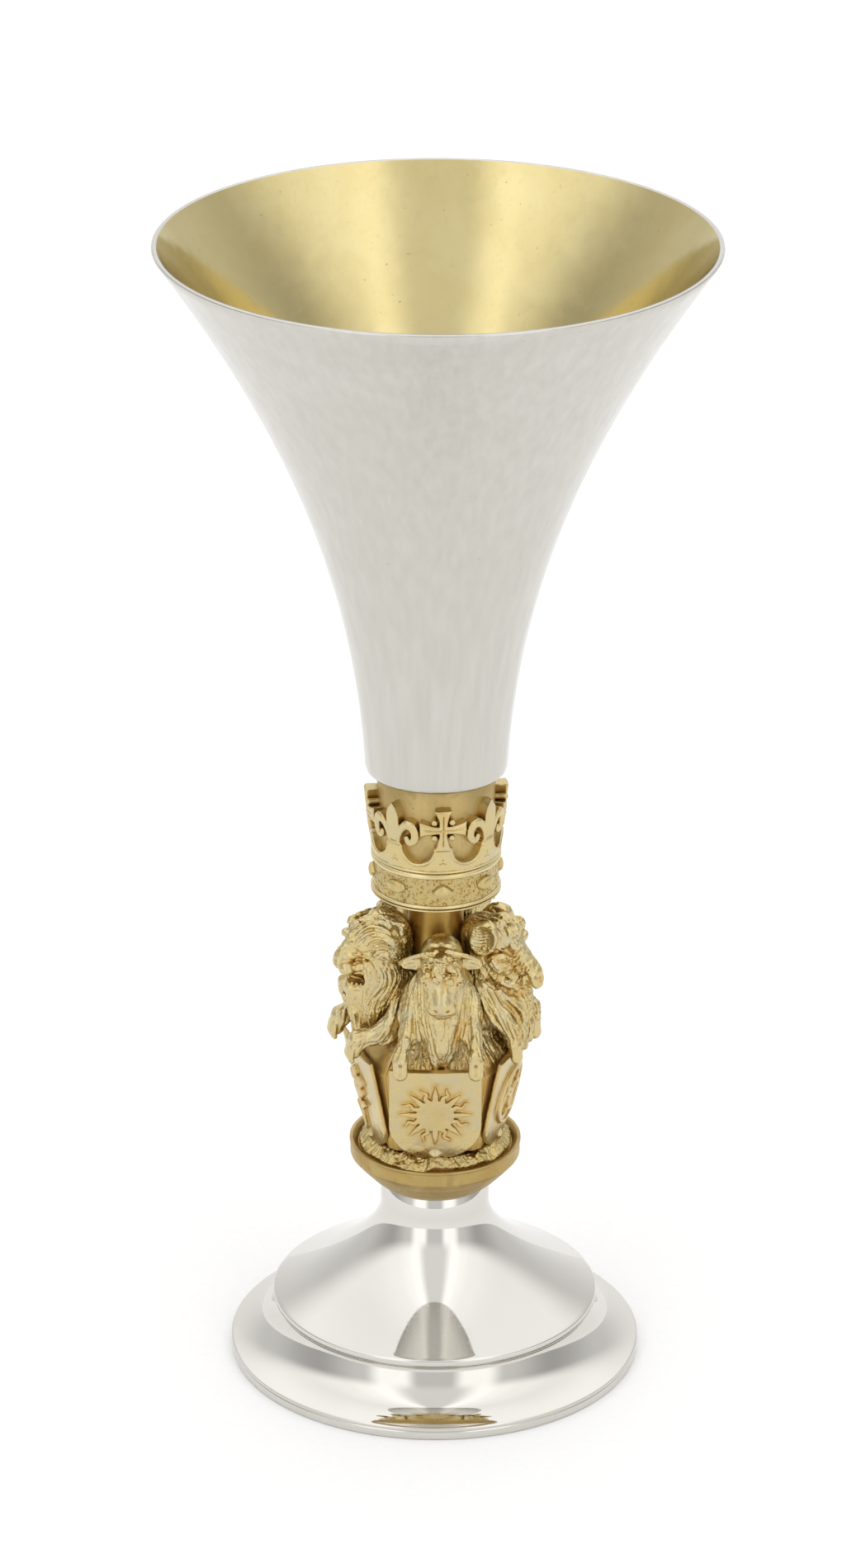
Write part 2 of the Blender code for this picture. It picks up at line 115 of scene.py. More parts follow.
def finish_piece(piece, slot, material, *replaced):
    """Gives a piece its body and material, and hides the CAD nodes that it stands for; its slot is not
    used.
    """
    piece.data.materials.clear()
    piece.data.materials.append(material)
    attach(piece, "root")
    if replaced:
        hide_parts(*replaced)


def mark_hollow(piece, hollow):
    """Keeps how deep in a recess each point is, from 0 to 1, where the gilding reads it to paint shade and
    patina into the colour.
    """
    mark = piece.data.attributes.new("hollow", "FLOAT", "POINT")
    mark.data.foreach_set("value", np.asarray(hollow, np.float32).ravel())


def bezier(points, steps):
    """Points along a cubic curve given by its four control points."""
    a, b, c, d = (np.array(p, float) for p in points)
    t = np.linspace(0, 1, steps + 1)[:, None]
    return a * (1 - t) ** 3 + 3 * b * t * (1 - t) ** 2 + 3 * c * t * t * (1 - t) + d * t**3


def rounded(outline, radius, closed=True, steps=5):
    """The (r, z) outline with each corner replaced by a small round of about that radius."""
    outline = [np.array(p, float) for p in outline]
    count = len(outline)
    result = []
    for i, corner in enumerate(outline):
        before, after = outline[i - 1], outline[(i + 1) % count]
        if not closed and i in (0, count - 1):
            result.append(corner)
            continue
        to_before, to_after = before - corner, after - corner
        reach_before, reach_after = np.linalg.norm(to_before), np.linalg.norm(to_after)
        cosine = to_before @ to_after / (reach_before * reach_after)
        if cosine < -0.985:
            result.append(corner)
            continue
        cut = min(radius, 0.45 * reach_before, 0.45 * reach_after)
        start = corner + to_before / reach_before * cut
        end = corner + to_after / reach_after * cut
        for t in np.linspace(0, 1, steps + 1):
            result.append(start * (1 - t) ** 2 + 2 * corner * t * (1 - t) + end * t * t)
    return result


def ring_faces(around, along, closed=True):
    """The quads of an outline of `along` points that is repeated `around` times about the axis."""
    i, j = np.meshgrid(np.arange(around), np.arange(along if closed else along - 1), indexing="ij")
    i_next, j_next = (i + 1) % around, (j + 1) % along
    quads = [i * along + j, i * along + j_next, i_next * along + j_next, i_next * along + j]
    return np.stack(quads, axis=2).reshape(-1, 4)


def turned(name, outline, closed=True, steps=TURN_STEPS, smooth_angle=50):
    """A turned piece from (radius, height) points that run down its outer side."""
    outline = np.array(outline, float)
    angles = np.arange(steps) * TAU / steps
    count = len(outline)
    points = np.stack([
        np.outer(np.cos(angles), outline[:, 0]),
        np.outer(np.sin(angles), outline[:, 0]),
        np.tile(outline[:, 1], (steps, 1)),
    ], axis=2).reshape(-1, 3)
    piece = add_mesh(name, points, ring_faces(steps, count, closed), smooth_angle)
    if not closed:
        weld_axis(piece)
    return piece


def weld_axis(piece):
    """Merges the points that lie together on the axis."""
    shape = bmesh.new()
    shape.from_mesh(piece.data)
    bmesh.ops.remove_doubles(shape, verts=[v for v in shape.verts if math.hypot(v.co.x, v.co.y) < 1e-7],
                             dist=1e-7)
    shape.to_mesh(piece.data)
    shape.free()


# ---------------------------------------------------------------- sampled solids

FAR = 9.0


def noise(x, y, z, seed):
    """Smooth noise from 0 to 1 with one bump for each unit, from a seeded lattice that repeats."""
    size = 32
    lattice = np.random.default_rng(seed).random((size, size, size)).astype(np.float32)
    x, y, z = np.broadcast_arrays(x, y, z)
    whole = [np.floor(v).astype(np.int64) for v in (x, y, z)]
    part = [(v - w).astype(np.float32) for v, w in zip((x, y, z), whole)]
    part = [p * p * (3 - 2 * p) for p in part]
    total = np.zeros(x.shape, np.float32)
    for dx, dy, dz in CORNERS:
        weight = (part[0] if dx else 1 - part[0]) * (part[1] if dy else 1 - part[1])
        weight = weight * (part[2] if dz else 1 - part[2])
        total += weight * lattice[(whole[0] + dx) % size, (whole[1] + dy) % size, (whole[2] + dz) % size]
    return total


def smooth_min(a, b, soft):
    share = np.clip(0.5 + 0.5 * (b - a) / soft, 0, 1)
    return b + (a - b) * share - soft * share * (1 - share)


class Clay:
    """A solid sampled on a grid in millimetres. Negative is inside."""

    def __init__(self, low, high, step):
        self.low = np.array(low, float)
        self.step = step
        self.shape = np.ceil((np.array(high, float) - self.low) / step).astype(int) + 1
        self.field = np.full(self.shape, FAR, np.float32)
        self.hair = []

    def window(self, low, high):
        """The grid's part between two corners, as slices and coordinates."""
        first = np.clip(np.floor((np.array(low) - self.low) / self.step).astype(int), 0, self.shape - 1)
        last = np.clip(np.ceil((np.array(high) - self.low) / self.step).astype(int) + 1, first + 1,
                       self.shape)
        cut = tuple(slice(a, b) for a, b in zip(first, last))
        axes = [(self.low[k] + self.step * np.arange(first[k],
                                                     last[k])).astype(np.float32) for k in range(3)]
        return cut, axes[0][:, None, None], axes[1][None, :, None], axes[2][None, None, :]

    def everywhere(self):
        """The whole grid, as slices and coordinates."""
        return self.window(self.low, self.low + self.step * (self.shape - 1))

    def put(self, cut, distance, soft, carve=False):
        """Joins a shape to the solid, or carves it out."""
        if carve:
            self.field[cut] = -smooth_min(-self.field[cut], distance, soft)
        else:
            self.field[cut] = smooth_min(self.field[cut], distance, soft)

    def ball(self, centre, radii, turn=(0, 0, 0), soft=0.5, carve=False):
        """An ellipsoid, turned by angles in degrees about X, Y and Z."""
        centre = np.array(centre, float)
        radii = np.array(np.broadcast_to(radii, 3), float)
        reach = radii.max() + soft + 3 * self.step
        cut, x, y, z = self.window(centre - reach, centre + reach)
        axes = turn_axes(turn)
        away = (x - centre[0], y - centre[1], z - centre[2])
        scaled = [sum(a * float(axes[i][k]) for i, a in enumerate(away)) / radii[k] for k in range(3)]
        near = np.sqrt(sum(s * s for s in scaled)) + 1e-6
        slope = np.sqrt(sum((s / r) ** 2 for s, r in zip(scaled, radii))) + 1e-6
        self.put(cut, near * (near - 1) / slope, soft, carve)

    def limb(self, points, radii, soft=0.5, carve=False, squash=None):
        """A chain of tapered round bars; squash=(direction, share) flattens it along a direction."""
        points = np.array(points, float)
        radii = np.array(np.broadcast_to(radii, len(points)), float)
        reach = radii.max() + soft + 3 * self.step
        cut, x, y, z = self.window(points.min(0) - reach, points.max(0) + reach)
        best = None
        for a, b, ra, rb in zip(points[:-1], points[1:], radii[:-1], radii[1:]):
            run = b - a
            t = ((x - a[0]) * run[0] + (y - a[1]) * run[1] + (z - a[2]) * run[2]) / (run @ run)
            t = np.clip(t, 0, 1)
            dx, dy, dz = x - (a[0] + t * run[0]), y - (a[1] + t * run[1]), z - (a[2] + t * run[2])
            squares = dx * dx + dy * dy + dz * dz
            if squash:
                flat, share = np.array(squash[0], float), squash[1]
                flat = flat / np.linalg.norm(flat)
                across = dx * flat[0] + dy * flat[1] + dz * flat[2]
                squares = squares + across * across * (1 / share**2 - 1)
            distance = np.sqrt(squares) - (ra + t * (rb - ra))
            best = distance if best is None else np.minimum(best, distance)
        self.put(cut, best, soft, carve)

    def brush(self, guides, low, high, seed, pitch=0.4, depth=0.16, length=3.2, spare=()):
        """Notes that hair runs along the guides, between two corners and outside the spare balls."""
        self.hair.append((guides, np.array(low, float), np.array(high, float), seed, pitch, depth, length,
                          spare))

    def strands(self, points, ways, guides, seed, pitch, length):
        """Ridges and grooves at points of the surface, about -1 to 1, drawn out along the guides."""
        middles = np.concatenate([(np.array(g)[1:] + np.array(g)[:-1]) / 2 for g in guides])
        runs = np.concatenate([np.diff(np.array(g, float), axis=0) for g in guides])
        runs /= np.linalg.norm(runs, axis=1, keepdims=True) + 1e-9
        cell = 0.6
        count = np.ceil((points.max(0) - points.min(0) + 2) / cell).astype(int) + 1
        start = points.min(0) - 1
        nodes = np.stack(np.meshgrid(*[start[k] + cell * np.arange(count[k]) for k in range(3)],
                                     indexing="ij"), -1)
        nodes = nodes.reshape(-1, 3)
        squares = (nodes**2).sum(1)[:, None] + (middles**2).sum(1)[None] - 2 * nodes @ middles.T
        weights = 1 / (np.maximum(squares, 0) + 0.6) ** 2
        flow = (weights @ runs / weights.sum(1, keepdims=True)).astype(np.float32)
        draws = np.random.default_rng(seed)
        speckle = draws.standard_normal(self.shape).astype(np.float32)
        for axis in range(3):
            width = max(int(round(pitch / self.step)), 1)
            speckle = sum(np.roll(speckle, k, axis) for k in range(width))
        pace = 1.2 * self.step
        paces = max(int(length / 2 / pace), 2)
        total = np.zeros(len(points), np.float32)
        for sign in (1, -1):
            at = points.astype(np.float32)
            for k in range(paces):
                node = np.clip(np.rint((at - start) / cell).astype(int), 0, count - 1)
                way = flow[(node[:, 0] * count[1] + node[:, 1]) * count[2] + node[:, 2]]
                index = np.clip(np.rint((at - self.low) / self.step).astype(int), 0, self.shape - 1)
                spot = (index[:, 0], index[:, 1], index[:, 2])
                normal = np.stack([g[spot] for g in ways], axis=1)
                normal = normal / (np.linalg.norm(normal, axis=1, keepdims=True) + 1e-6)
                total += speckle[spot] * (1 - 0.6 * k / paces)
                gap = self.field[spot] + ((at - self.low - index * self.step) * normal).sum(1)
                way = way - normal * (way * normal).sum(1, keepdims=True)
                way /= np.linalg.norm(way, axis=1, keepdims=True) + 1e-6
                at = at + sign * pace * way - normal * np.clip(gap, -0.3, 0.3)[:, None]
        return np.clip((total - total.mean()) / (1.6 * total.std() + 1e-6), -1, 1)

    def comb_out(self, points, normals, hollow):
        """Moves the surface in and out by its strands of hair, with painted shade in the grooves between
        them and a paler colour on the ridges, through the attribute hollow.
        """
        ways = np.gradient(self.field)
        for guides, low, high, seed, pitch, depth, length, spare in self.hair:
            fade = np.clip(np.minimum(points - low, high - points).min(1) / 0.9, 0, 1)
            for centre, radius in spare:
                gap = np.linalg.norm(points - np.array(centre), axis=1) - radius
                fade = np.minimum(fade, np.clip(gap / 0.8, 0, 1))
            chosen = np.nonzero(fade > 0.02)[0]
            if not len(chosen):
                continue
            ridge = self.strands(points[chosen], ways, guides, seed, pitch, length)
            share = fade[chosen] * ridge
            points[chosen] += normals[chosen] * (depth * share)[:, None]
            # Painted shade: grooves get a higher hollow and so a browner colour, ridges a lower hollow and
            # a paler colour.
            hollow[chosen] = np.clip(hollow[chosen] - 1.1 * depth * share, 0, 1)
        return points, hollow

    def keep(self, gap, soft=0.1):
        """Cuts off what lies where the gap is below zero."""
        gap = (gap + 0 * self.field).astype(np.float32)
        self.field = -smooth_min(-self.field, gap, soft)

    def keep_below(self, height):
        """Cuts off what is above a height."""
        z = self.everywhere()[3]
        self.keep(-(z - height))

    def keep_outside(self, radius):
        """Cuts off what is within a radius of the axis."""
        x, y = self.everywhere()[1:3]
        self.keep(np.sqrt(x * x + y * y) - radius)

    def keep_wedge(self, half_angle):
        """Cuts off what is further than an angle in degrees to either side of the front."""
        x, y = self.everywhere()[1:3]
        half = math.radians(half_angle)
        self.keep(-(np.abs(x) * math.cos(half) + y * math.sin(half)))

    def touch(self, axis, sign, a, b):
        """Where a line along an axis first meets the solid, coming from the sign's side, or None."""
        others = [k for k in range(3) if k != axis]
        index = [0, 0, 0]
        for k, value in zip(others, (a, b)):
            index[k] = int(np.clip(round((value - self.low[k]) / self.step), 0, self.shape[k] - 1))
        index[axis] = slice(None)
        inside = np.nonzero(self.field[tuple(index)] < 0)[0]
        if not len(inside):
            return None
        place = [0.0, 0.0, 0.0]
        place[others[0]], place[others[1]] = a, b
        place[axis] = float(self.low[axis] + self.step * (inside.max() if sign > 0 else inside.min()))
        return tuple(place)

    def locks(self, paths, side, radius, draws):
        """Lays locks of hair on one side along (y, z) paths, with a groove by each, and returns them."""
        lines = []
        for path in paths:
            laid = [self.touch(0, side, y, z) for y, z in path]
            laid = [p for p in laid if p and p[0] * side > 0.4]
            if len(laid) < 4:
                continue
            laid = np.array(laid)
            laid[1:-1] = (laid[:-2] + laid[1:-1] + laid[2:]) / 3
            lines.append(laid)
            size = radius * draws.uniform(0.8, 1.25)
            taper = np.sin(np.linspace(0.5, math.pi - 0.35, len(laid))) * size + 0.04
            self.limb(laid + (side * 0.22, 0, 0.34), 0.16, soft=0.12, carve=True)
            self.limb(laid + (side * 0.05, 0, 0), taper, soft=0.1)
        return lines

    def grain(self, low, high, pitch, depth, seed):
        """Small uneven lumps, as left by a chaser's tools, on the surface between two corners."""
        cut, x, y, z = self.window(low, high)
        field = self.field[cut]
        i, j, k = np.nonzero(np.abs(field) < 2 * depth + 2 * self.step)
        px, py, pz = x[i, 0, 0] / pitch, y[0, j, 0] / pitch, z[0, 0, k] / pitch
        lump = noise(px, py, pz, seed) + 0.5 * noise(2.3 * px, 2.3 * py, 2.3 * pz, seed + 1)
        field[i, j, k] += (depth * (0.75 - lump) * 1.6).astype(np.float32)
        self.field[cut] = field

    def hollows(self, points, normals):
        """How enclosed each point is, from 0 in the open to 1 in a deep recess."""
        total = np.zeros(len(points), np.float32)
        for reach in (0.35, 0.8, 1.7):
            at = points + normals * reach
            index = np.clip(np.rint((at - self.low) / self.step).astype(int), 0, self.shape - 1)
            open_share = np.clip(self.field[index[:, 0], index[:, 1], index[:, 2]] / reach, 0, 1)
            total += (1 - open_share) / 3
        return total

    def piece(self, name, bend=None, shade=None):
        """The solid's surface as a mesh object in metres, with its recesses in the attribute hollow."""
        edge = np.ones_like(self.field, bool)
        edge[1:-1, 1:-1, 1:-1] = False
        self.field[edge] = np.maximum(self.field[edge], self.step)
        points, faces = surface_net(self.field)
        points = self.low + points * self.step
        normals = face_normals(points, faces)
        hollow = self.hollows(points, normals)
        if self.hair:
            points, hollow = self.comb_out(points, normals, hollow)
        if shade:
            hollow = shade(points, hollow)
        if bend:
            points = bend(points)
        made = add_mesh(name, points * MM, faces)
        mark_hollow(made, hollow)
        return made


def turn_axes(turn):
    """The columns of a rotation by angles in degrees about X, then Y, then Z."""
    rotation = Matrix.Identity(3)
    for angle, axis in zip(turn, "XYZ"):
        rotation = Matrix.Rotation(math.radians(angle), 3, axis) @ rotation
    return [[rotation[i][k] for k in range(3)] for i in range(3)]


def surface_net(field):
    """The surface where a sampled field is zero, as points in grid units and quads that face outwards."""
    inside = field < 0
    nx, ny, nz = field.shape
    mixed = np.zeros((nx - 1, ny - 1, nz - 1), np.uint8)
    for dx, dy, dz in CORNERS:
        mixed += inside[dx:nx - 1 + dx, dy:ny - 1 + dy, dz:nz - 1 + dz]
    cells = np.argwhere((mixed > 0) & (mixed < 8))
    number = np.full(mixed.shape, -1, np.int32)
    number[cells[:, 0], cells[:, 1], cells[:, 2]] = np.arange(len(cells), dtype=np.int32)
    corners = {}
    for dx, dy, dz in CORNERS:
        corners[dx, dy, dz] = field[cells[:, 0] + dx, cells[:, 1] + dy, cells[:, 2] + dz]
    total = np.zeros((len(cells), 3))
    crossings = np.zeros(len(cells))
    for axis in range(3):
        for u in (0, 1):
            for v in (0, 1):
                start = [u, v]
                start.insert(axis, 0)
                end = list(start)
                end[axis] = 1
                a, b = corners[tuple(start)], corners[tuple(end)]
                crosses = (a < 0) != (b < 0)
                t = np.where(crosses, a / np.where(crosses, a - b, 1), 0)
                place = np.tile(np.array(start, float), (len(cells), 1))
                place[:, axis] += t
                total += place * crosses[:, None]
                crossings += crosses
    points = cells + total / crossings[:, None]
    quads = []
    for axis in range(3):
        first = [slice(None)] * 3
        second = [slice(None)] * 3
        first[axis], second[axis] = slice(0, -1), slice(1, None)
        a, b = inside[tuple(first)], inside[tuple(second)]
        for leaving in (True, False):
            edges = np.argwhere((a & ~b) if leaving else (~a & b))
            u, v = (axis + 1) % 3, (axis + 2) % 3
            edges = edges[(edges[:, u] > 0) & (edges[:, v] > 0)]
            edges = edges[(edges[:, u] < field.shape[u] - 1) & (edges[:, v] < field.shape[v] - 1)]
            ring = []
            for du, dv in ((-1, -1), (0, -1), (0, 0), (-1, 0)):
                at = edges.copy()
                at[:, u] += du
                at[:, v] += dv
                ring.append(number[at[:, 0], at[:, 1], at[:, 2]])
            quad = np.stack(ring, axis=1)
            quads.append(quad if leaving else quad[:, ::-1])
    return points, np.concatenate(quads)


def face_normals(points, faces):
    """A normal for each point, from the quads round it."""
    a, b, c, d = (points[faces[:, k]] for k in range(4))
    cross = np.cross(c - a, d - b)
    normals = np.zeros_like(points)
    for k in range(4):
        for axis in range(3):
            normals[:, axis] += np.bincount(faces[:, k], cross[:, axis], len(points))
    return normals / np.maximum(np.linalg.norm(normals, axis=1, keepdims=True), 1e-9)


# ---------------------------------------------------------------- materials

def set_stops(ramp, stops):
    """Gives a colour ramp its stops, as (position, grey or colour)."""
    marks = ramp.color_ramp.elements
    while len(marks) < len(stops):
        marks.new(0.5)
    for mark, (position, colour) in zip(marks, stops):
        mark.position = position
        mark.color = (*colour, 1) if isinstance(colour, tuple) else (colour, colour, colour, 1)


class Paint:
    """A metal material under construction, with its place in metres as the texture coordinate."""

    def __init__(self, name, colour, roughness, metallic=1.0):
        self.material = bpy.data.materials.new(name)
        self.material.use_nodes = True
        self.tree = self.material.node_tree
        self.shader = self.tree.nodes["Principled BSDF"]
        self.shader.inputs["Base Color"].default_value = (*colour, 1)
        self.shader.inputs["Roughness"].default_value = roughness
        self.shader.inputs["Metallic"].default_value = metallic
        self.place = self.add("ShaderNodeTexCoord").outputs["Object"]

    def add(self, kind, settings=None, **inputs):
        """A node with its settings, and with its inputs linked or set."""
        node = self.tree.nodes.new(kind)
        for key, value in (settings or {}).items():
            setattr(node, key, value)
        for key, value in inputs.items():
            self.connect(node.inputs[key.replace("_", " ")], value)
        return node

    def connect(self, socket, value):
        if isinstance(value, bpy.types.NodeSocket):
            self.tree.links.new(value, socket)
        else:
            socket.default_value = value

    def noise(self, scale, detail=2.0, stretch=(1, 1, 1), turn=(0, 0, 0), distortion=0.0):
        place = self.place
        if stretch != (1, 1, 1) or turn != (0, 0, 0):
            mapping = self.add("ShaderNodeMapping", Vector=place, Scale=stretch, Rotation=turn)
            place = mapping.outputs["Vector"]
        node = self.add("ShaderNodeTexNoise", Vector=place, Scale=scale, Detail=detail,
                        Distortion=distortion)
        return node.outputs["Fac"]

    def ramp(self, value, *stops):
        """A grey or colour from a value, given as (position, grey or colour) stops."""
        node = self.add("ShaderNodeValToRGB", Fac=value)
        set_stops(node, stops)
        return node.outputs["Color"]

    def sums(self, operation, a, b=0.0, c=0.0):
        node = self.add("ShaderNodeMath", {"operation": operation})
        for socket, value in zip(node.inputs, (a, b, c)):
            self.connect(socket, value)
        return node.outputs["Value"]

    def mix(self, share, a, b, blend="MIX"):
        node = self.add("ShaderNodeMix", {"data_type": "RGBA", "blend_type": blend})
        self.connect(node.inputs[0], share)
        for socket, value in ((node.inputs[6], a), (node.inputs[7], b)):
            self.connect(socket, (*value, 1) if isinstance(value, tuple) else value)
        return node.outputs[2]

    def bump(self, height, strength, distance, under=None):
        node = self.add("ShaderNodeBump", Height=height, Strength=strength, Distance=distance)
        if under:
            self.connect(node.inputs["Normal"], under)
        return node.outputs["Normal"]

    def set_input(self, name, value):
        self.connect(self.shader.inputs[name], value)


def hairlines(paint, scale, turn):
    """Fine scratches from polishing, from 0 to 1, along a direction."""
    lines = paint.noise(scale, 1.0, stretch=(1, 1, 0.03), turn=turn)
    return paint.ramp(lines, (0.60, 0.0), (0.72, 1.0))


def silver(name, light, dark, rough, ripple, brushed):
    """Polished silver with soft ripples, faint tarnish, a few specks and polishing lines."""
    paint = Paint(name, light, rough)
    tarnish = paint.ramp(paint.noise(38, 3.0, distortion=0.8), (0.35, 0.0), (0.7, 1.0))
    streaks = paint.ramp(paint.noise(700, 2.0, stretch=(1, 1, 0.02)), (0.3, 0.0), (0.7, 1.0))
    colour = paint.mix(tarnish, light, dark)
    colour = paint.mix(paint.sums("MULTIPLY", streaks, brushed), colour, tuple(c * 0.93 for c in dark))
    specks = paint.ramp(paint.noise(620, 1.0), (0.80, 0.0), (0.84, 0.45))
    paint.set_input("Base Color", paint.mix(specks, colour, tuple(c * 0.6 for c in dark)))
    scratches = paint.sums("ADD", hairlines(paint, 1500, (0.7, 0.2, 0)),
                           hairlines(paint, 1900, (0.2, -0.9, 0.4)))
    roughness = paint.sums("MULTIPLY_ADD", scratches, 0.05, rough)
    roughness = paint.sums("MULTIPLY_ADD", streaks, 0.05 * brushed + 0.01, roughness)
    paint.set_input("Roughness", roughness)
    wavy = paint.bump(paint.noise(90, 1.0), ripple, 0.0006)
    paint.set_input("Normal", paint.bump(streaks, 0.04 * brushed + 0.004, 0.00002, wavy))
    return paint.material


def gilt_plain(name, light, dark, rough, grain_scale=2400, grain_depth=0.12, stain=0.5):
    """Gilding on a plain surface: a satin grain with paler rubbed patches, stains and scratches."""
    paint = Paint(name, light, rough)
    patches = paint.ramp(paint.noise(150, 4.0, distortion=0.5), (0.35, 0.0), (0.7, 1.0))
    colour = paint.mix(patches, light, dark)
    stains = paint.ramp(paint.noise(420, 5.0, distortion=0.8), (0.55, 0.0), (0.75, stain))
    colour = paint.mix(stains, colour, tuple(c * 0.62 for c in dark))
    specks = paint.ramp(paint.noise(1500, 1.0), (0.76, 0.0), (0.82, 0.6))
    paint.set_input("Base Color", paint.mix(specks, colour, tuple(c * 0.45 for c in dark)))
    grain = paint.noise(grain_scale, 3.0)
    scratches = hairlines(paint, 1700, (0.9, 0.3, 0.2))
    roughness = paint.sums("MULTIPLY_ADD", grain, 0.14, rough - 0.05)
    paint.set_input("Roughness", paint.sums("MULTIPLY_ADD", scratches, 0.08, roughness))
    wavy = paint.bump(paint.noise(200, 1.0), 0.1, 0.0005)
    paint.set_input("Normal", paint.bump(grain, grain_depth, 0.00004, wavy))
    return paint.material


def gilt_cast(name, light, frosted, middle, recess, rough=0.30):
    """Gilding on a chased casting: frosted in patches, paler where it is open and brown where it is
    enclosed, partly as patina and partly as painted shade.
    """
    paint = Paint(name, light, rough)
    hollow = paint.add("ShaderNodeAttribute", {"attribute_name": "hollow"}).outputs["Fac"]
    blotch = paint.noise(520, 4.0, distortion=0.5)
    frost = paint.ramp(paint.noise(260, 4.0, distortion=0.6), (0.42, 0.0), (0.62, 1.0))
    top = paint.mix(frost, light, frosted)
    # Painted shade: depth grows with the attribute hollow, how enclosed the point is, and the colour
    # darkens with it from the top colour through middle and recess to a darker recess colour.
    depth = paint.sums("MULTIPLY_ADD", blotch, 0.30, paint.sums("ADD", hollow, -0.15))
    colour = paint.mix(paint.ramp(depth, (0.14, 0.0), (0.42, 1.0)), top, middle)
    colour = paint.mix(paint.ramp(depth, (0.42, 0.0), (0.74, 1.0)), colour, recess)
    colour = paint.mix(paint.ramp(depth, (0.80, 0.0), (0.98, 1.0)), colour, tuple(c * 0.6 for c in recess))
    specks = paint.ramp(paint.noise(2100, 1.0), (0.72, 0.0), (0.80, 0.6))
    paint.set_input("Base Color", paint.mix(specks, colour, recess))
    grain = paint.noise(3300, 3.0)
    roughness = paint.sums("MULTIPLY_ADD", depth, 0.2, rough - 0.1)
    roughness = paint.sums("MULTIPLY_ADD", frost, 0.08, roughness)
    paint.set_input("Roughness", paint.sums("MULTIPLY_ADD", grain, 0.12, roughness))
    wavy = paint.bump(paint.noise(1500, 3.0), 0.25, 0.00008)
    paint.set_input("Normal", paint.bump(grain, 0.12, 0.00003, wavy))
    return paint.material


def steel(name):
    """Turned steel: fine rings, with brown specks where it has rusted."""
    paint = Paint(name, (0.50, 0.49, 0.47), 0.32)
    rust = paint.ramp(paint.noise(700, 5.0), (0.55, 0.0), (0.72, 0.85))
    paint.set_input("Base Color", paint.mix(rust, (0.50, 0.49, 0.47), (0.20, 0.12, 0.07)))
    rings = paint.noise(2200, 1.0, stretch=(0.1, 0.1, 1))
    paint.set_input("Roughness", paint.sums("MULTIPLY_ADD", rust, 0.3,
                                       paint.sums("MULTIPLY_ADD", rings, 0.15, 0.25)))
    paint.set_input("Normal", paint.bump(rings, 0.25, 0.00004))
    return paint.material


def paper(name):
    """The plain pale floor."""
    paint = Paint(name, (0.97, 0.97, 0.97), 0.9, metallic=0.0)
    grain = paint.noise(900, 3.0)
    paint.set_input("Base Color", paint.ramp(grain, (0.3, (0.96, 0.96, 0.96)), (0.7, (0.98, 0.98, 0.98))))
    return paint.material


# ---------------------------------------------------------------- turned pieces

def thinned(curve, wall):
    """A curve that runs down the outer side, moved inwards by a wall, square to itself."""
    curve = np.array(curve, float)
    along = np.gradient(curve, axis=0)
    along /= np.linalg.norm(along, axis=1, keepdims=True)
    return curve + np.stack([along[:, 1], -along[:, 0]], axis=1) * wall


def make_bowl(outside, inside):
    """The flared bowl, silver outside, with a gilt lining up to just under its lip."""
    low, top = BOWL_BOTTOM_Z, RIM_Z
    wall = BOWL_WALL
    curve = bezier([(10.74 * MM, low + 1.1 * MM), (12.32 * MM, 126.11 * MM), (21.4 * MM, 150.85 * MM),
                    (RIM_RADIUS, top - 0.3 * MM)], 60)[::-1]
    inner = thinned(curve, wall)
    base = [(0, low), (9.64 * MM, low), (10.2 * MM, low + 0.12 * MM), (10.55 * MM, low + 0.45 * MM)]
    lip = [(RIM_RADIUS - 0.05 * MM, top - 0.1 * MM), (RIM_RADIUS - 0.2 * MM, top),
           (RIM_RADIUS - 0.55 * MM, top),
           (RIM_RADIUS - 0.78 * MM, top - 0.12 * MM)]
    middle = thinned(curve, wall * 0.6)[::-1]
    share = (top - 0.04 * MM - inner[1][1]) / (inner[0][1] - inner[1][1])
    inner[0] = inner[1] + (inner[0] - inner[1]) * share
    middle = middle[middle[:, 1] < inner[0][1] - 0.2 * MM]
    shell = [(0, low + 0.8 * MM)] + [tuple(p) for p in middle if p[0] > 9.8 * MM]
    shell += [tuple(inner[0])] + lip[::-1] + [tuple(p) for p in curve] + base[::-1]
    finish_piece(turned("bowl_shell", shell, closed=False), "bowl_silver", outside, "bowl")
    floor = low + 1.2 * MM
    rise = bezier([(0, floor), (6 * MM, floor), (9.2 * MM, floor), (9.97 * MM, floor + 2.4 * MM)], 14)
    lining = [tuple(p) for p in rise]
    lining += [tuple(p) for p in inner[::-1] if p[1] > floor + 2.6 * MM]
    back = thinned(curve, wall * 0.7)
    lining += [tuple(p) for p in back if floor + 2.6 * MM < p[1] < inner[0][1] - 0.15 * MM]
    lining += [(9.6 * MM, floor + 0.8 * MM), (8.0 * MM, floor - 0.25 * MM), (0, floor - 0.3 * MM)]
    finish_piece(turned("bowl_lining", lining[::-1], closed=False), "gilt_bright", inside)


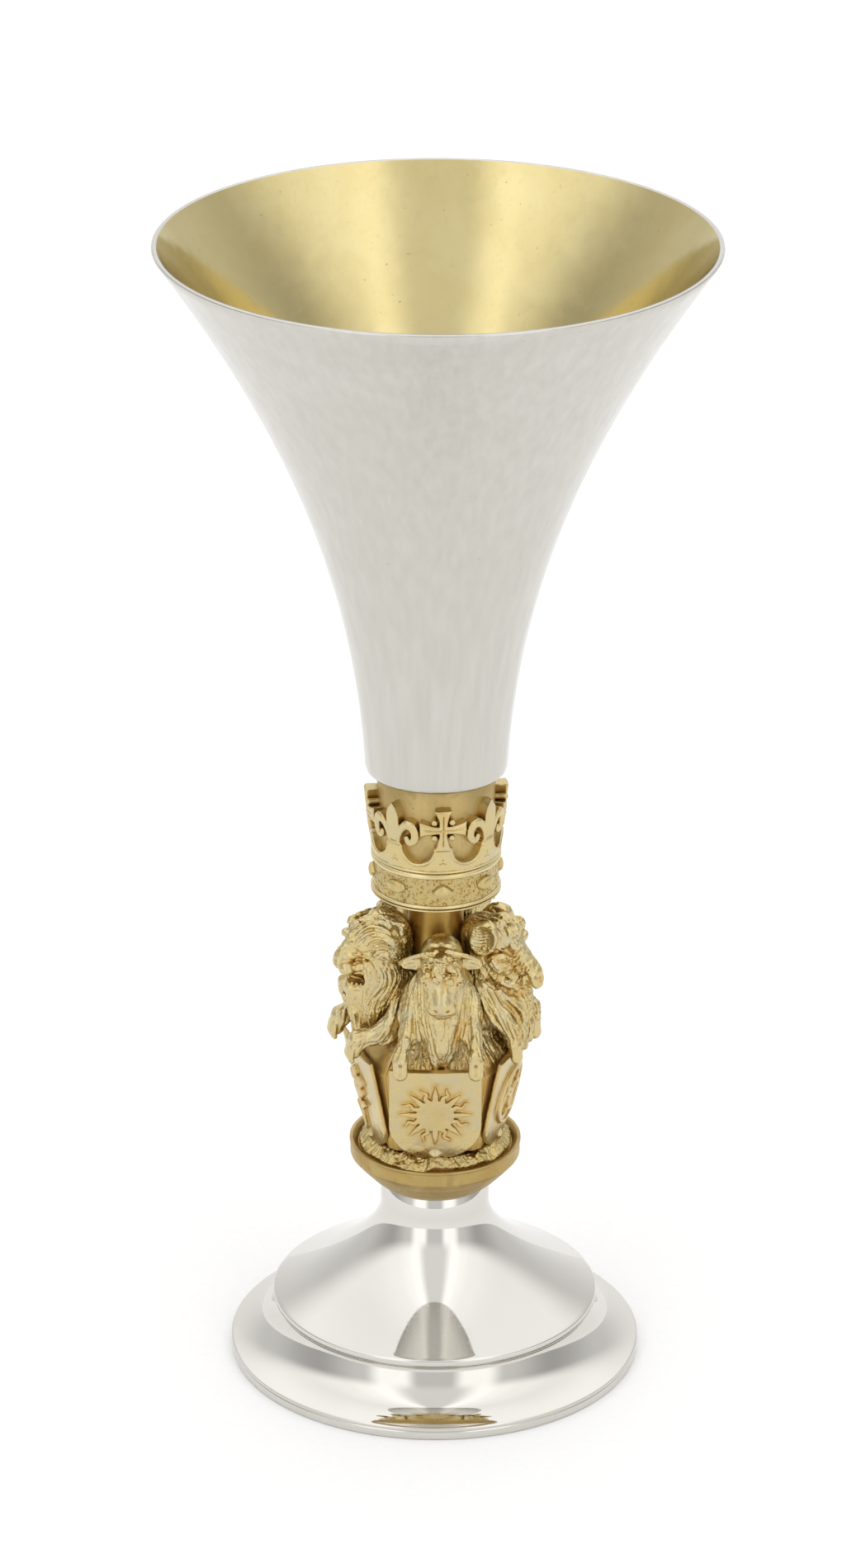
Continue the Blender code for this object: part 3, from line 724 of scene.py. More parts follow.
def make_drum(plain, bright):
    """The crown's plain drum, and the beads above and below the pricked circlet."""
    top = node_high("crown_drum").z + 0.27 * MM
    foot = CROWN_BOTTOM_Z
    radius = DRUM_RADIUS
    outline = [(0, top), (radius - 0.3 * MM, top), (radius, top - 0.3 * MM), (radius, 84 * MM),
               (radius - 0.4 * MM, 83 * MM), (radius - 0.4 * MM, foot + 0.6 * MM),
               (radius - 1 * MM, foot + 0.05 * MM), (0, foot + 0.05 * MM)]
    finish_piece(turned("crown_drum_turned", outline, closed=False), "gilt_plain", plain, "crown_drum")
    for node in ("circlet_upper_bead", "circlet_lower_bead"):
        low, high, reach = node_low(node).z, node_high(node).z, node_high(node).x
        tall = high - low
        share = 1 if node == "circlet_upper_bead" else -1
        quirk = (low + high) / 2 + share * tall * 0.18
        rows = []
        for start, end, swell in ((high, quirk + 0.04 * MM, 0.55), (quirk - 0.04 * MM, low, 0.55)):
            half = (start - end) / 2
            for t in np.linspace(0, math.pi, 9):
                z = (start + end) / 2 + half * math.cos(t)
                rows.append((reach - swell * MM * (1 - math.sin(t)) * min(1, half / (0.4 * MM)), z))
            rows.append((reach - 0.45 * MM, end - 0.02 * MM))
        rows = rows[:-1]
        inner = radius - 0.5 * MM
        rows = [(inner, high)] + rows + [(inner, low)]
        finish_piece(turned(node + "_turned", rows, smooth_angle=35), "gilt_bright", bright, node)


def make_column(brown):
    """The slender column among the beasts, with a small flare at each end."""
    low, high, radius = node_low("stem_column").z, node_high("stem_column").z, node_high("stem_column").x
    top = high + 0.3 * MM
    outline = [(0, top), (radius, top), (radius, high - 0.2 * MM), (radius - 0.1 * MM, high - 0.6 * MM)]
    outline += [(radius - 0.3 * MM, high - 3 * MM), (radius - 0.45 * MM, high - 9 * MM),
                (radius - 0.45 * MM, low + 8 * MM), (radius, low + 5 * MM), (radius, low), (0, low)]
    piece = turned("stem_column_turned", rounded(outline, 0.4 * MM, closed=False), closed=False, steps=128)
    finish_piece(piece, "gilt_plain", brown, "stem_column")


def make_dish(gilt):
    """The shallow dish under the beasts: a bright lip, a straight wall and a taper with two creases."""
    reach, top = node_high("stem_dish").x, node_high("stem_dish").z
    low = node_low("stem_dish").z
    shoulder = 33.4 * MM
    outline = [
        (0, 34.9 * MM), (11.9 * MM, 34.9 * MM), (12.2 * MM, 35.4 * MM),
        (reach - 0.75 * MM, top - 0.25 * MM),
        (reach - 0.5 * MM, top), (reach - 0.05 * MM, top), (reach, top - 0.12 * MM),
        (reach, top - 0.35 * MM),
        (reach - 0.12 * MM, top - 0.5 * MM), (reach - 0.12 * MM, shoulder + 0.25 * MM),
        (reach - 0.2 * MM, shoulder), (12.1 * MM, 32.35 * MM), (11.85 * MM, 32.3 * MM),
        (11.8 * MM, 32.0 * MM),
        (10.1 * MM, 30.2 * MM), (9.9 * MM, 30.15 * MM), (9.8 * MM, 29.9 * MM), (8.6 * MM, low), (0, low)]
    piece = turned("stem_dish_turned", rounded(outline, 0.14 * MM, closed=False, steps=4), closed=False)
    finish_piece(piece, "gilt_plain", gilt, "stem_dish")


def make_foot(mirror):
    """The domed upper foot, the concave flange below it, and the wire that it stands on."""
    top = node_high("foot_dome").z + 0.27 * MM
    wall = FOOT_WALL
    curve = bezier([(8.35 * MM, 25.4 * MM), (8.35 * MM, 20.5 * MM), (14.5 * MM, 15.5 * MM),
                    (25.1 * MM, 9.9 * MM)], 48)
    inner = [tuple(p) for p in thinned(curve, wall)[::-1] if p[1] > 8.2 * MM]
    dome = [(8.35 * MM - wall, top), (8.2 * MM, top), (8.35 * MM, top - 0.15 * MM)]
    dome += [tuple(p) for p in curve[:-1]]
    dome += [(24.93 * MM, 10.0 * MM), (25.02 * MM, 9.93 * MM), (25.1 * MM, 9.8 * MM),
             (25.1 * MM, 9.05 * MM),
             (25.02 * MM, 8.88 * MM), (24.6 * MM, 8.6 * MM), (24.5 * MM, 8.3 * MM), (24.5 * MM, 8.0 * MM),
             (23.6 * MM, 8.0 * MM)]
    dome += [p for p in inner if p[0] < 23.6 * MM]
    finish_piece(turned("foot_dome_raised", dome), "foot_silver", mirror, "foot_dome")
    high, low = node_high("foot_flange").z, node_low("foot_flange").z
    sweep = bezier([(24.5 * MM, high), (25.6 * MM, 4.4 * MM), (27.6 * MM, 2.6 * MM),
                    (FOOT_RADIUS, 2.0 * MM)], 40)
    under = thinned(sweep, FLANGE_WALL)[::-1]
    flange = [(23.6 * MM, high + 0.32 * MM), (24.45 * MM, high + 0.32 * MM), (24.47 * MM, high + 0.1 * MM)]
    flange += [tuple(p) for p in sweep[:-1]]
    flange += [(FOOT_RADIUS - 0.08 * MM, 2.0 * MM), (FOOT_RADIUS, 1.9 * MM), (FOOT_RADIUS, 1.5 * MM),
               (FOOT_RADIUS - 0.1 * MM, max(low, 1.35 * MM))]
    flange += [tuple(p) for p in under if p[1] > 1.35 * MM]
    finish_piece(turned("foot_flange_raised", flange), "foot_silver", mirror, "foot_flange")
    width = FOOT_WIRE_WIDTH
    high = node_high("foot_wire").z + 0.32 * MM
    wire = [(FOOT_RADIUS - width, high), (FOOT_RADIUS - 0.12 * MM, high), (FOOT_RADIUS, high - 0.18 * MM),
            (FOOT_RADIUS, 0.2 * MM), (FOOT_RADIUS - 0.2 * MM, 0), (FOOT_RADIUS - width + 0.2 * MM, 0),
            (FOOT_RADIUS - width, 0.2 * MM)]
    finish_piece(turned("foot_wire_turned", rounded(wire, 0.1 * MM, steps=3)), "foot_silver", mirror,
                 "foot_wire")


# ---------------------------------------------------------------- stage

CAMERA_PLACE = (-0.00087, -0.8127, 0.4443)
CAMERA_DIP = 23.27
CAMERA_ROLL = 0.17
CAMERA_LENS = 135.1
# Brightness of the walls, turning from the front through the left and the back: (share of a turn, grey)
WALL_STOPS = [(0.0, 0.75), (0.03, 0.75), (0.06, 1.45), (0.10, 1.45), (0.14, 0.8), (0.24, 0.5), (0.38, 0.75),
              (0.5, 1.1), (0.62, 0.75), (0.76, 0.5), (0.86, 0.8), (0.90, 1.45), (0.94, 1.45), (0.97, 0.75),
              (1.0, 0.75)]
# Brightness of the ceiling, in the same way
CEILING_STOPS = [(0.0, 0.95), (0.045, 0.95), (0.105, 1.55), (0.15, 1.4), (0.2, 1.3), (0.3, 1.2),
                 (0.5, 1.35),
                 (0.7, 1.2), (0.8, 1.3), (0.85, 1.4), (0.895, 1.55), (0.955, 0.95), (1.0, 0.95)]
# Where the walls turn into the ceiling: (upward part of the direction, share of the ceiling)
HEIGHT_STOPS = [(0.4, 0.0), (0.7, 1.0)]
ROOM_STRENGTH = 1.0


def make_camera():
    """The camera at the photograph's angle."""
    data = bpy.data.cameras.new("camera")
    data.lens = CAMERA_LENS
    data.sensor_width = 36
    data.sensor_fit = "AUTO"
    data.clip_start = 0.05
    camera = bpy.data.objects.new("camera", data)
    bpy.context.scene.collection.objects.link(camera)
    tilt = Matrix.Rotation(math.radians(90 - CAMERA_DIP), 4,
                           "X") @ Matrix.Rotation(math.radians(CAMERA_ROLL), 4, "Z")
    camera.matrix_world = Matrix.Translation(CAMERA_PLACE) @ tilt
    bpy.context.scene.camera = camera


def make_floor(material):
    """The floor that the chalice stands on."""
    size = 3.0
    points = [(-size, -size, 0), (size, -size, 0), (size, size, 0), (-size, size, 0)]
    floor = add_mesh("floor", points, [(0, 1, 2, 3)])
    floor.data.materials.append(material)


def grey_ramp(nodes, stops):
    """A colour ramp of greys, from (position, grey) stops."""
    ramp = nodes.new("ShaderNodeValToRGB")
    ramp.color_ramp.interpolation = "EASE"
    set_stops(ramp, stops)
    return ramp


def make_room():
    """A pale studio: a wall that is lighter and greyer by turns, under a bright ceiling."""
    world = bpy.data.worlds.new("studio")
    bpy.context.scene.world = world
    world.use_nodes = True
    tree = world.node_tree
    nodes, links = tree.nodes, tree.links
    place = nodes.new("ShaderNodeTexCoord").outputs["Generated"]
    split = nodes.new("ShaderNodeSeparateXYZ")
    links.new(place, split.inputs[0])
    round_about = nodes.new("ShaderNodeMath")
    round_about.operation = "ARCTAN2"
    links.new(split.outputs["X"], round_about.inputs[0])
    links.new(split.outputs["Y"], round_about.inputs[1])
    share = nodes.new("ShaderNodeMapRange")
    share.inputs["From Min"].default_value = -math.pi
    share.inputs["From Max"].default_value = math.pi
    links.new(round_about.outputs[0], share.inputs["Value"])
    walls, ceiling = grey_ramp(nodes, WALL_STOPS), grey_ramp(nodes, CEILING_STOPS)
    links.new(share.outputs["Result"], walls.inputs["Fac"])
    links.new(share.outputs["Result"], ceiling.inputs["Fac"])
    height = grey_ramp(nodes, HEIGHT_STOPS)
    links.new(split.outputs["Z"], height.inputs["Fac"])
    mix = nodes.new("ShaderNodeMix")
    mix.data_type = "RGBA"
    links.new(height.outputs["Color"], mix.inputs[0])
    links.new(walls.outputs["Color"], mix.inputs[6])
    links.new(ceiling.outputs["Color"], mix.inputs[7])
    links.new(mix.outputs[2], nodes["Background"].inputs["Color"])
    nodes["Background"].inputs["Strength"].default_value = ROOM_STRENGTH
    bpy.context.scene.view_settings.view_transform = "Standard"


# ---------------------------------------------------------------- beasts
# Each beast is shaped in millimetres, facing -Y, and then turned to its place round the stem.

BEAST_LOW = (-9.2, -17.6, 37.7)
BEAST_HIGH = (9.2, -3.6, 77.9)
BEAST_STEP = 0.14
BEAST_WEDGE = 36.3
COLUMN_KEEP = 4.1
BEASTS = ("bull", "boar", "falcon", "hart", "lion")


def curve(*points, steps=7):
    """Points along a cubic curve in any number of dimensions."""
    return [tuple(p) for p in bezier(points, steps)]


def beast_clay():
    """The part that all the beasts share: a seated body behind the shield."""
    clay = Clay(BEAST_LOW, BEAST_HIGH, BEAST_STEP)
    cut, x, y, z = clay.everywhere()
    out, turn = np.sqrt(x * x + y * y), np.abs(np.arctan2(x, -y))
    lean = np.clip((z - 38) / 15, 0, 1.1)
    behind = (out * np.cos(turn) - (9.25 + 3.1 * lean)) * 0.97
    between = out - (10.9 + 2.4 * np.minimum(lean, 0.87) - 0.75 * np.clip(z - 51, 0, 9))
    clay.put(cut, np.maximum(np.maximum(behind, between), z - 57.5).astype(np.float32), 0.6)
    clay.ball((0, -5.6, 46), (5.3, 3.6, 11), soft=0.8)
    clay.ball((0, -5.4, 56), (5.0, 4.2, 9), soft=1.2)
    return clay


def hoof(clay, top, toe, size, slot=True):
    """A cloven hoof from its ring at the top down to its toe."""
    top, toe = np.array(top, float), np.array(toe, float)
    clay.limb([top + (0, 0.1, 0.5), top], [size * 0.96, size * 1.02], soft=0.3)
    clay.limb([top, toe], [size * 1.04, size * 0.98], soft=0.12, squash=((0, 1, 0), 0.82))
    ring = [top + (size * 1.02 * math.sin(a), -size * 0.86 * math.cos(a), 0.12 * math.cos(a))
            for a in np.linspace(-1.9, 1.9, 11)]
    clay.limb(ring, 0.16, soft=0.12)
    if slot:
        front = -size * 0.94
        clay.limb([top + (0, front, -0.55), toe + (0, front, -1.2)], [0.13, 0.22], soft=0.1, carve=True)
        clay.ball(top + (0, front + 0.1, -0.45), 0.24, soft=0.08, carve=True)


def knee(clay, place, size):
    """A bony knee with two creases below it."""
    x, y, z = place
    clay.ball((x, y - 0.35 * size, z), (size * 0.8, size * 0.75, size * 0.85), soft=0.35)
    for drop in (0.95, 1.35):
        ring = [(x + size * math.sin(a), y - size * 0.95 * math.cos(a), z - drop * size + 0.1 * math.cos(a))
                for a in np.linspace(-1.7, 1.7, 9)]
        clay.limb(ring, 0.1, soft=0.12, carve=True)


def curls(clay, low, high, size, count, seed):
    """Tight curls: small balls with dimples on the front of the surface between two (x, z) corners."""
    draws = np.random.default_rng(seed)
    for _ in range(count):
        x, z = draws.uniform(low[0], high[0]), draws.uniform(low[1], high[1])
        place = clay.touch(1, -1, x, z)
        if place is None:
            continue
        r = size * draws.uniform(0.75, 1.2)
        place = np.array(place) + (0, r * 0.15, 0)
        clay.ball(place, r, soft=0.12)
        clay.ball(place + (draws.uniform(-0.1, 0.1), -r * 0.95, draws.uniform(-0.1, 0.1)), r * 0.38,
                  soft=0.06,
                  carve=True)


def shape_bull(clay):
    """The bull in front: shaggy, with drooping ears, its hooves over the shield."""
    mid = 0.9
    clay.limb([(mid, -7.6, 70.0), (mid, -8.2, 65.5), (mid - 0.1, -7.8, 60)], [3.3, 4.2, 4.7], soft=1.0)
    clay.limb([(mid, -9.2, 66), (mid, -10.4, 61.5), (mid - 0.1, -11.0, 57), (mid - 0.2, -10.8, 52.9)],
              [2.9, 3.3, 2.5, 1.3], soft=0.8)
    for side, x in ((-1, mid - 4.3), (1, mid + 4.3)):
        clay.ball((x, -7.8, 61.2), (2.3, 2.9, 5.4), (0, side * -10, 0), soft=0.9)
        clay.limb([(x - side * 0.1, -9.4, 60.9), (x, -11.3, 58.6)], [1.95, 1.5], soft=0.8)
    for x, foot in ((mid - 4.8, mid - 6.2), (mid + 4.7, mid + 5.2)):
        middle = (x + foot) / 2
        clay.limb([(x, -10.9, 59.6), (middle, -12.4, 57.4), (foot, -13.4, 55.9)], [1.45, 1.15, 1.02],
                  soft=0.5)
    guides = [curve((mid, -10, 70), (mid, -12.5, 62), (mid, -12.5, 57), (mid - 0.2, -11.5, 51))]
    for side, foot in ((-1, mid - 6.2), (1, mid + 5.2)):
        guides.append(curve((mid + side * 3, -9, 70), (mid + side * 4.2, -11, 63),
                            (mid + side * 2.2, -12.5, 59),
                            (mid + side * 0.5, -12, 52)))
        guides.append(curve((mid + side * 3.4, -7, 70), (mid + side * 5.2, -9, 65),
                            (mid + side * 5.0, -12, 60),
                            (foot, -13.8, 55)))
        guides.append(curve((mid + side * 4, -4.5, 70), (mid + side * 6, -6, 64),
                            (mid + side * 6.4, -9, 58),
                            (mid + side * 6.4, -9, 52)))
    low, high = (-9.4, -15.6, 51.6), (9.4, -3.4, 71.6)
    bare = [((mid, -11.7, 69.5), 3.9), ((mid, -13.8, 66.3), 3.0), ((mid, -7.0, 71.2), 3.0),
            ((mid - 4.6, -9.6, 69.8), 2.6), ((mid + 4.6, -9.6, 69.8), 2.6),
            ((mid - 6.2, -14.0, 53.9), 1.8), ((mid + 5.2, -14.0, 53.9), 1.8)]
    clay.brush(guides, low, high, 11, 0.85, 0.24, 6.0, bare)
    clay.brush(guides, low, high, 12, 0.36, 0.15, 3.6, bare)
    for x, foot in ((mid - 4.8, mid - 6.2), (mid + 4.7, mid + 5.2)):
        knee(clay, ((x + foot) / 2 - 0.05, -12.4, 57.9), 1.15)
        hoof(clay, (foot, -13.9, 55.3), (foot, -14.35, 53.3), 1.15)
    # The dome behind the poll, then the head
    clay.ball((mid, -7.3, 69.6), (2.9, 3.0, 2.9), soft=0.3)
    clay.ball((mid, -10.2, 70.1), (3.25, 2.3, 2.2), soft=0.3)
    clay.limb([(mid, -11.2, 69.3), (mid, -12.3, 68.0)], [3.1, 2.85], soft=0.5, squash=((0, 0.7, 1), 0.85))
    clay.limb([(mid, -12.4, 67.6), (mid, -14.2, 65.2)], [2.35, 1.95], soft=0.5)
    clay.limb([(mid, -10.6, 66.4), (mid, -13.6, 64.2)], [2.2, 1.5], soft=0.5)
    clay.ball((mid, -14.7, 64.3), (2.15, 1.4, 1.35), (-20, 0, 0), soft=0.35)
    clay.limb([(mid, -12.6, 69.0), (mid, -14.1, 66.9), (mid, -15.0, 65.2)], [1.7, 1.5, 1.5], soft=0.5)
    for side in SIDES:
        x = mid + side * 2.15
        clay.ball((x, -13.1, 68.9), (1.1, 0.75, 0.6), (0, side * 14, 0), soft=0.25)
        clay.ball((x, -13.5, 68.1), (0.65, 0.35, 0.4), soft=0.12, carve=True)
        clay.ball((x, -13.15, 68.1), (0.55, 0.45, 0.42), soft=0.04)
        clay.limb([(x - 0.9, -13.2, 68.2), (x, -13.95, 68.55), (x + 0.9, -13.1, 68.2)], 0.17, soft=0.08)
        clay.limb([(x - 0.9, -13.1, 67.95), (x, -13.8, 67.45), (x + 0.9, -13.0, 67.9)], 0.16, soft=0.08)
        clay.limb([(x + side * 0.2, -12.9, 67.3), (mid + side * 1.95, -14.2, 65.6)], [0.4, 0.3], soft=0.3)
        clay.ball((mid + side * 0.95, -16.05, 64.5), (0.3, 0.4, 0.2), (0, side * 30, 0), soft=0.1,
                  carve=True)
        root, tip = mid + side * 2.5, mid + side * 6.4
        clay.limb([(root, -10.2, 70.2), (mid + side * 4.0, -10.0, 69.9), (mid + side * 5.3, -9.5, 69.5),
                   (tip, -8.9, 69.0)], [0.7, 1.15, 0.9, 0.12], soft=0.15, squash=((0, 1, -0.35), 0.55))
        clay.limb([(mid + side * 3.4, -11.1, 69.85), (mid + side * 4.4, -10.8, 69.6),
                   (mid + side * 5.5, -10.0, 69.2)],
                  [0.4, 0.62, 0.25], soft=0.1, carve=True, squash=((0, 1, -0.35), 0.7))
        clay.limb([(mid + side * 0.9, -11.0, 72.15), (mid + side * 2.9, -10.8, 71.5),
                   (mid + side * 4.9, -10.1, 70.6),
                   (tip + side * 0.1, -9.0, 69.4)], [0.4, 0.36, 0.3, 0.14], soft=0.08)
    mouth = [(mid + 1.9 * math.sin(a), -14.7 - 1.2 * math.cos(a), 63.5 + 0.1 * math.cos(a))
             for a in np.linspace(-1.3, 1.3, 9)]
    clay.limb(mouth, 0.12, soft=0.1, carve=True)
    curls(clay, (mid - 2.4, 68.5), (mid + 2.4, 71.9), 0.52, 70, 21)
    clay.grain((mid - 4, -17, 62), (mid + 4, -9, 72.6), 0.8, 0.08, 23)


def shape_boar(clay):
    """The boar: a ringed snout, small tusks and round ears, its hooves over the shield."""
    clay.limb([(0, -7.4, 71), (0, -8.6, 66), (0, -8.2, 60)], [3.4, 4.3, 4.6], soft=1.0)
    clay.ball((0, -11.3, 61.2), (4.2, 3.9, 5.2), (-12, 0, 0), soft=1.0)
    clay.limb([(0, -12.2, 58), (0, -12.5, 54.4)], [2.9, 1.5], soft=0.8)
    for side in SIDES:
        clay.ball((side * 4.2, -8.6, 61.5), (2.2, 3.2, 4.2), (12, 0, 0), soft=0.8)
    for side in SIDES:
        x = side * 4.75
        clay.limb([(side * 4.3, -9.6, 61.8), (side * 4.8, -11.9, 60.0), (x, -13.5, 58.0), (x, -13.8, 56.3)],
                  [1.9, 1.45, 1.15, 1.05], soft=0.4)
        clay.limb([(side * 1.7, -12.6, 58.5), (side * 1.6, -14.2, 56.4), (side * 1.6, -14.3, 54.2)],
                  [1.2, 1.0, 0.9], soft=0.4)
    guides = [curve((0, -12, 65.5), (0, -15.5, 62), (0, -14.5, 57), (0, -12.5, 51))]
    wrinkles = []
    for side in SIDES:
        guides.append(curve((side * 4.8, -6.5, 70), (side * 5.2, -7.2, 65), (side * 5.6, -8.5, 60),
                            (side * 5.6, -9, 52)))
        guides.append(curve((side * 4.4, -8.5, 67), (side * 4.8, -10.5, 64), (side * 5, -12.5, 61),
                            (side * 4.9, -14.4, 56)))
        guides.append(curve((side * 3.4, -9.0, 66.6), (side * 4.0, -11.5, 64.4), (side * 3.6, -14, 62.4),
                            (side * 2.5, -15.6, 60)))
        wrinkles.append(curve((side * 1.4, -15.6, 68), (side * 2.3, -14.2, 67), (side * 2.8, -12.6, 65.6),
                              (side * 2.8, -11.2, 64.2)))
        wrinkles.append(curve((side * 2.3, -13.6, 69.2), (side * 2.9, -12.2, 68.2),
                              (side * 3.4, -10.8, 67.2),
                              (side * 3.4, -9.4, 66.0)))
    low, high = (-9.4, -16.8, 51.6), (9.4, -3.4, 69.4)
    bare = [((0, -13.6, 67.4), 4.2), ((0, -10.5, 69.6), 3.6), ((-4.75, -14.3, 54.2), 1.9),
            ((4.75, -14.3, 54.2), 1.9)]
    clay.brush(guides, low, high, 31, 0.85, 0.26, 4.6, bare)
    clay.brush(guides, low, high, 32, 0.36, 0.16, 3.2, bare)
    clay.brush(wrinkles, (-5, -15.7, 62.8), (5, -9.0, 69.8), 33, 0.5, 0.2, 2.2, [((0, -16.3, 65.3), 1.6)])
    for side in SIDES:
        x = side * 4.75
        knee(clay, (x, -13.7, 57.7), 1.2)
        hoof(clay, (x, -14.2, 55.7), (x, -14.5, 53.6), 1.15)
    # Head
    clay.ball((0, -10.2, 71.4), (3.5, 3.1, 3.3), soft=0.5)
    clay.limb([(0, -11.8, 69.6), (0, -13.9, 67.4), (0, -15.3, 65.9)], [2.4, 1.9, 1.7], soft=0.5)
    clay.limb([(0, -9.8, 66.2), (0, -12.6, 65.0), (0, -14.8, 64.4)], [2.7, 1.8, 1.1], soft=0.4)
    for side in SIDES:
        clay.ball((side * 2.6, -10.9, 68.0), (1.7, 2.2, 2.1), soft=0.5)
        clay.ball((side * 1.4, -12.3, 72.6), (1.3, 1.4, 1.7), (25, 0, 0), soft=0.35)
        clay.ball((side * 1.9, -13.1, 70.7), (1.1, 0.9, 1.2), soft=0.35)
        clay.ball((side * 3.3, -11.0, 70.2), (0.8, 0.9, 0.36), soft=0.06, carve=True)
        clay.ball((side * 2.95, -10.6, 70.1), (0.42, 0.5, 0.3), soft=0.04)
        clay.limb([(side * 3.0, -9.6, 69.9), (side * 3.3, -10.6, 70.75), (side * 3.0, -11.6, 70.2)], 0.2,
                  soft=0.1)
        clay.limb([(side * 2.9, -9.8, 69.4), (side * 3.2, -11.4, 69.5), (side * 2.7, -12.9, 68.9)], 0.24,
                  soft=0.12)
        clay.limb([(side * 3.1, -11.9, 69.2), (side * 2.8, -12.9, 68.4)], 0.16, soft=0.1, carve=True)
        clay.limb([(side * 2.9, -10.6, 65.9), (side * 2.0, -13.0, 65.0), (side * 1.3, -15.0, 64.5)], 0.15,
                  soft=0.15,
                  carve=True)
        clay.limb([(side * 1.35, -14.2, 64.4), (side * 1.75, -14.6, 65.1), (side * 1.7, -14.5, 65.9)],
                  [0.28, 0.22, 0.08], soft=0.1)
    clay.ball((0, -15.9, 65.2), (1.95, 1.0, 1.9), (-24, 0, 0), soft=0.12)
    ring = [(1.8 * math.sin(a), -15.2 + 0.71 * math.cos(a),
             65.5 + 1.6 * math.cos(a)) for a in np.linspace(0, TAU, 25)]
    clay.limb(ring, 0.24, soft=0.12, carve=True)
    clay.ball((0, -16.0, 66.85), (0.45, 0.4, 0.5), soft=0.15)
    for side in SIDES:
        for i in range(7):
            y, z = -13.2 - 0.36 * i, 70.4 - 0.55 * i
            fold = [clay.touch(0, side, yy, zz) for yy, zz in curve(
                (y, z), (y + 0.3, z - 0.9), (y + 0.9, z - 1.3), (y + 1.9, z - 1.9), steps=8)]
            fold = [p for p in fold if p]
            if len(fold) > 2:
                clay.limb(fold, [0.06] + [0.17] * (len(fold) - 2) + [0.05], soft=0.14, carve=True)
    for side in SIDES:
        clay.ball((side * 0.62, -16.9, 65.2), (0.3, 0.5, 0.42), soft=0.08, carve=True)
    for side in SIDES:
        clay.limb([(side * 4.2, -9.3, 65.3), (side * 3.3, -12.3, 63.8), (side * 1.9, -14.8, 62.9),
                   (0, -15.6, 62.8)],
                  0.42, soft=0.3, carve=True)
    # The round ears, wrinkled inside
    for side in SIDES:
        clay.ball((side * 3.7, -8.6, 72.3), (1.2, 2.6, 3.0), (18, side * -12, side * 14), soft=0.25)
        clay.ball((side * 5.1, -8.9, 72.2), (1.45, 2.0, 2.35), (18, side * -12, side * 14), soft=0.2,
                  carve=True)
        for i in range(8):
            z = 70.4 + 0.5 * i
            path = [clay.touch(0, side, yy, zz) for yy, zz in curve(
                (-10.5, z + 0.2), (-9.4, z + 0.9), (-8.7, z - 0.8), (-7.2, z + 0.3), steps=8)]
            path = [p for p in path if p]
            if len(path) > 1:
                clay.limb(path, 0.2, soft=0.05)
        clay.ball((side * 4.2, -9.0, 70.7), 0.42, soft=0.08)
        clay.ball((side * 4.2, -9.9, 71.0), 0.36, soft=0.08)
    tufts = [curve((side * 1.4, -14.4, 69.6), (side * 1.8, -13.8, 72), (side * 1.7, -12.4, 74),
                   (side * 1.6, -10, 75.5)) for side in SIDES]
    clay.brush(tufts, (-3.6, -14.6, 70.6), (3.6, -5, 77), 34, 0.5, 0.17, 2.4)
    clay.grain((-5, -17.5, 62), (5, -7, 76), 0.8, 0.06, 47)
    clay.grain((-3.4, -16.2, 65.2), (3.4, -11.2, 74.5), 0.9, 0.16, 48)


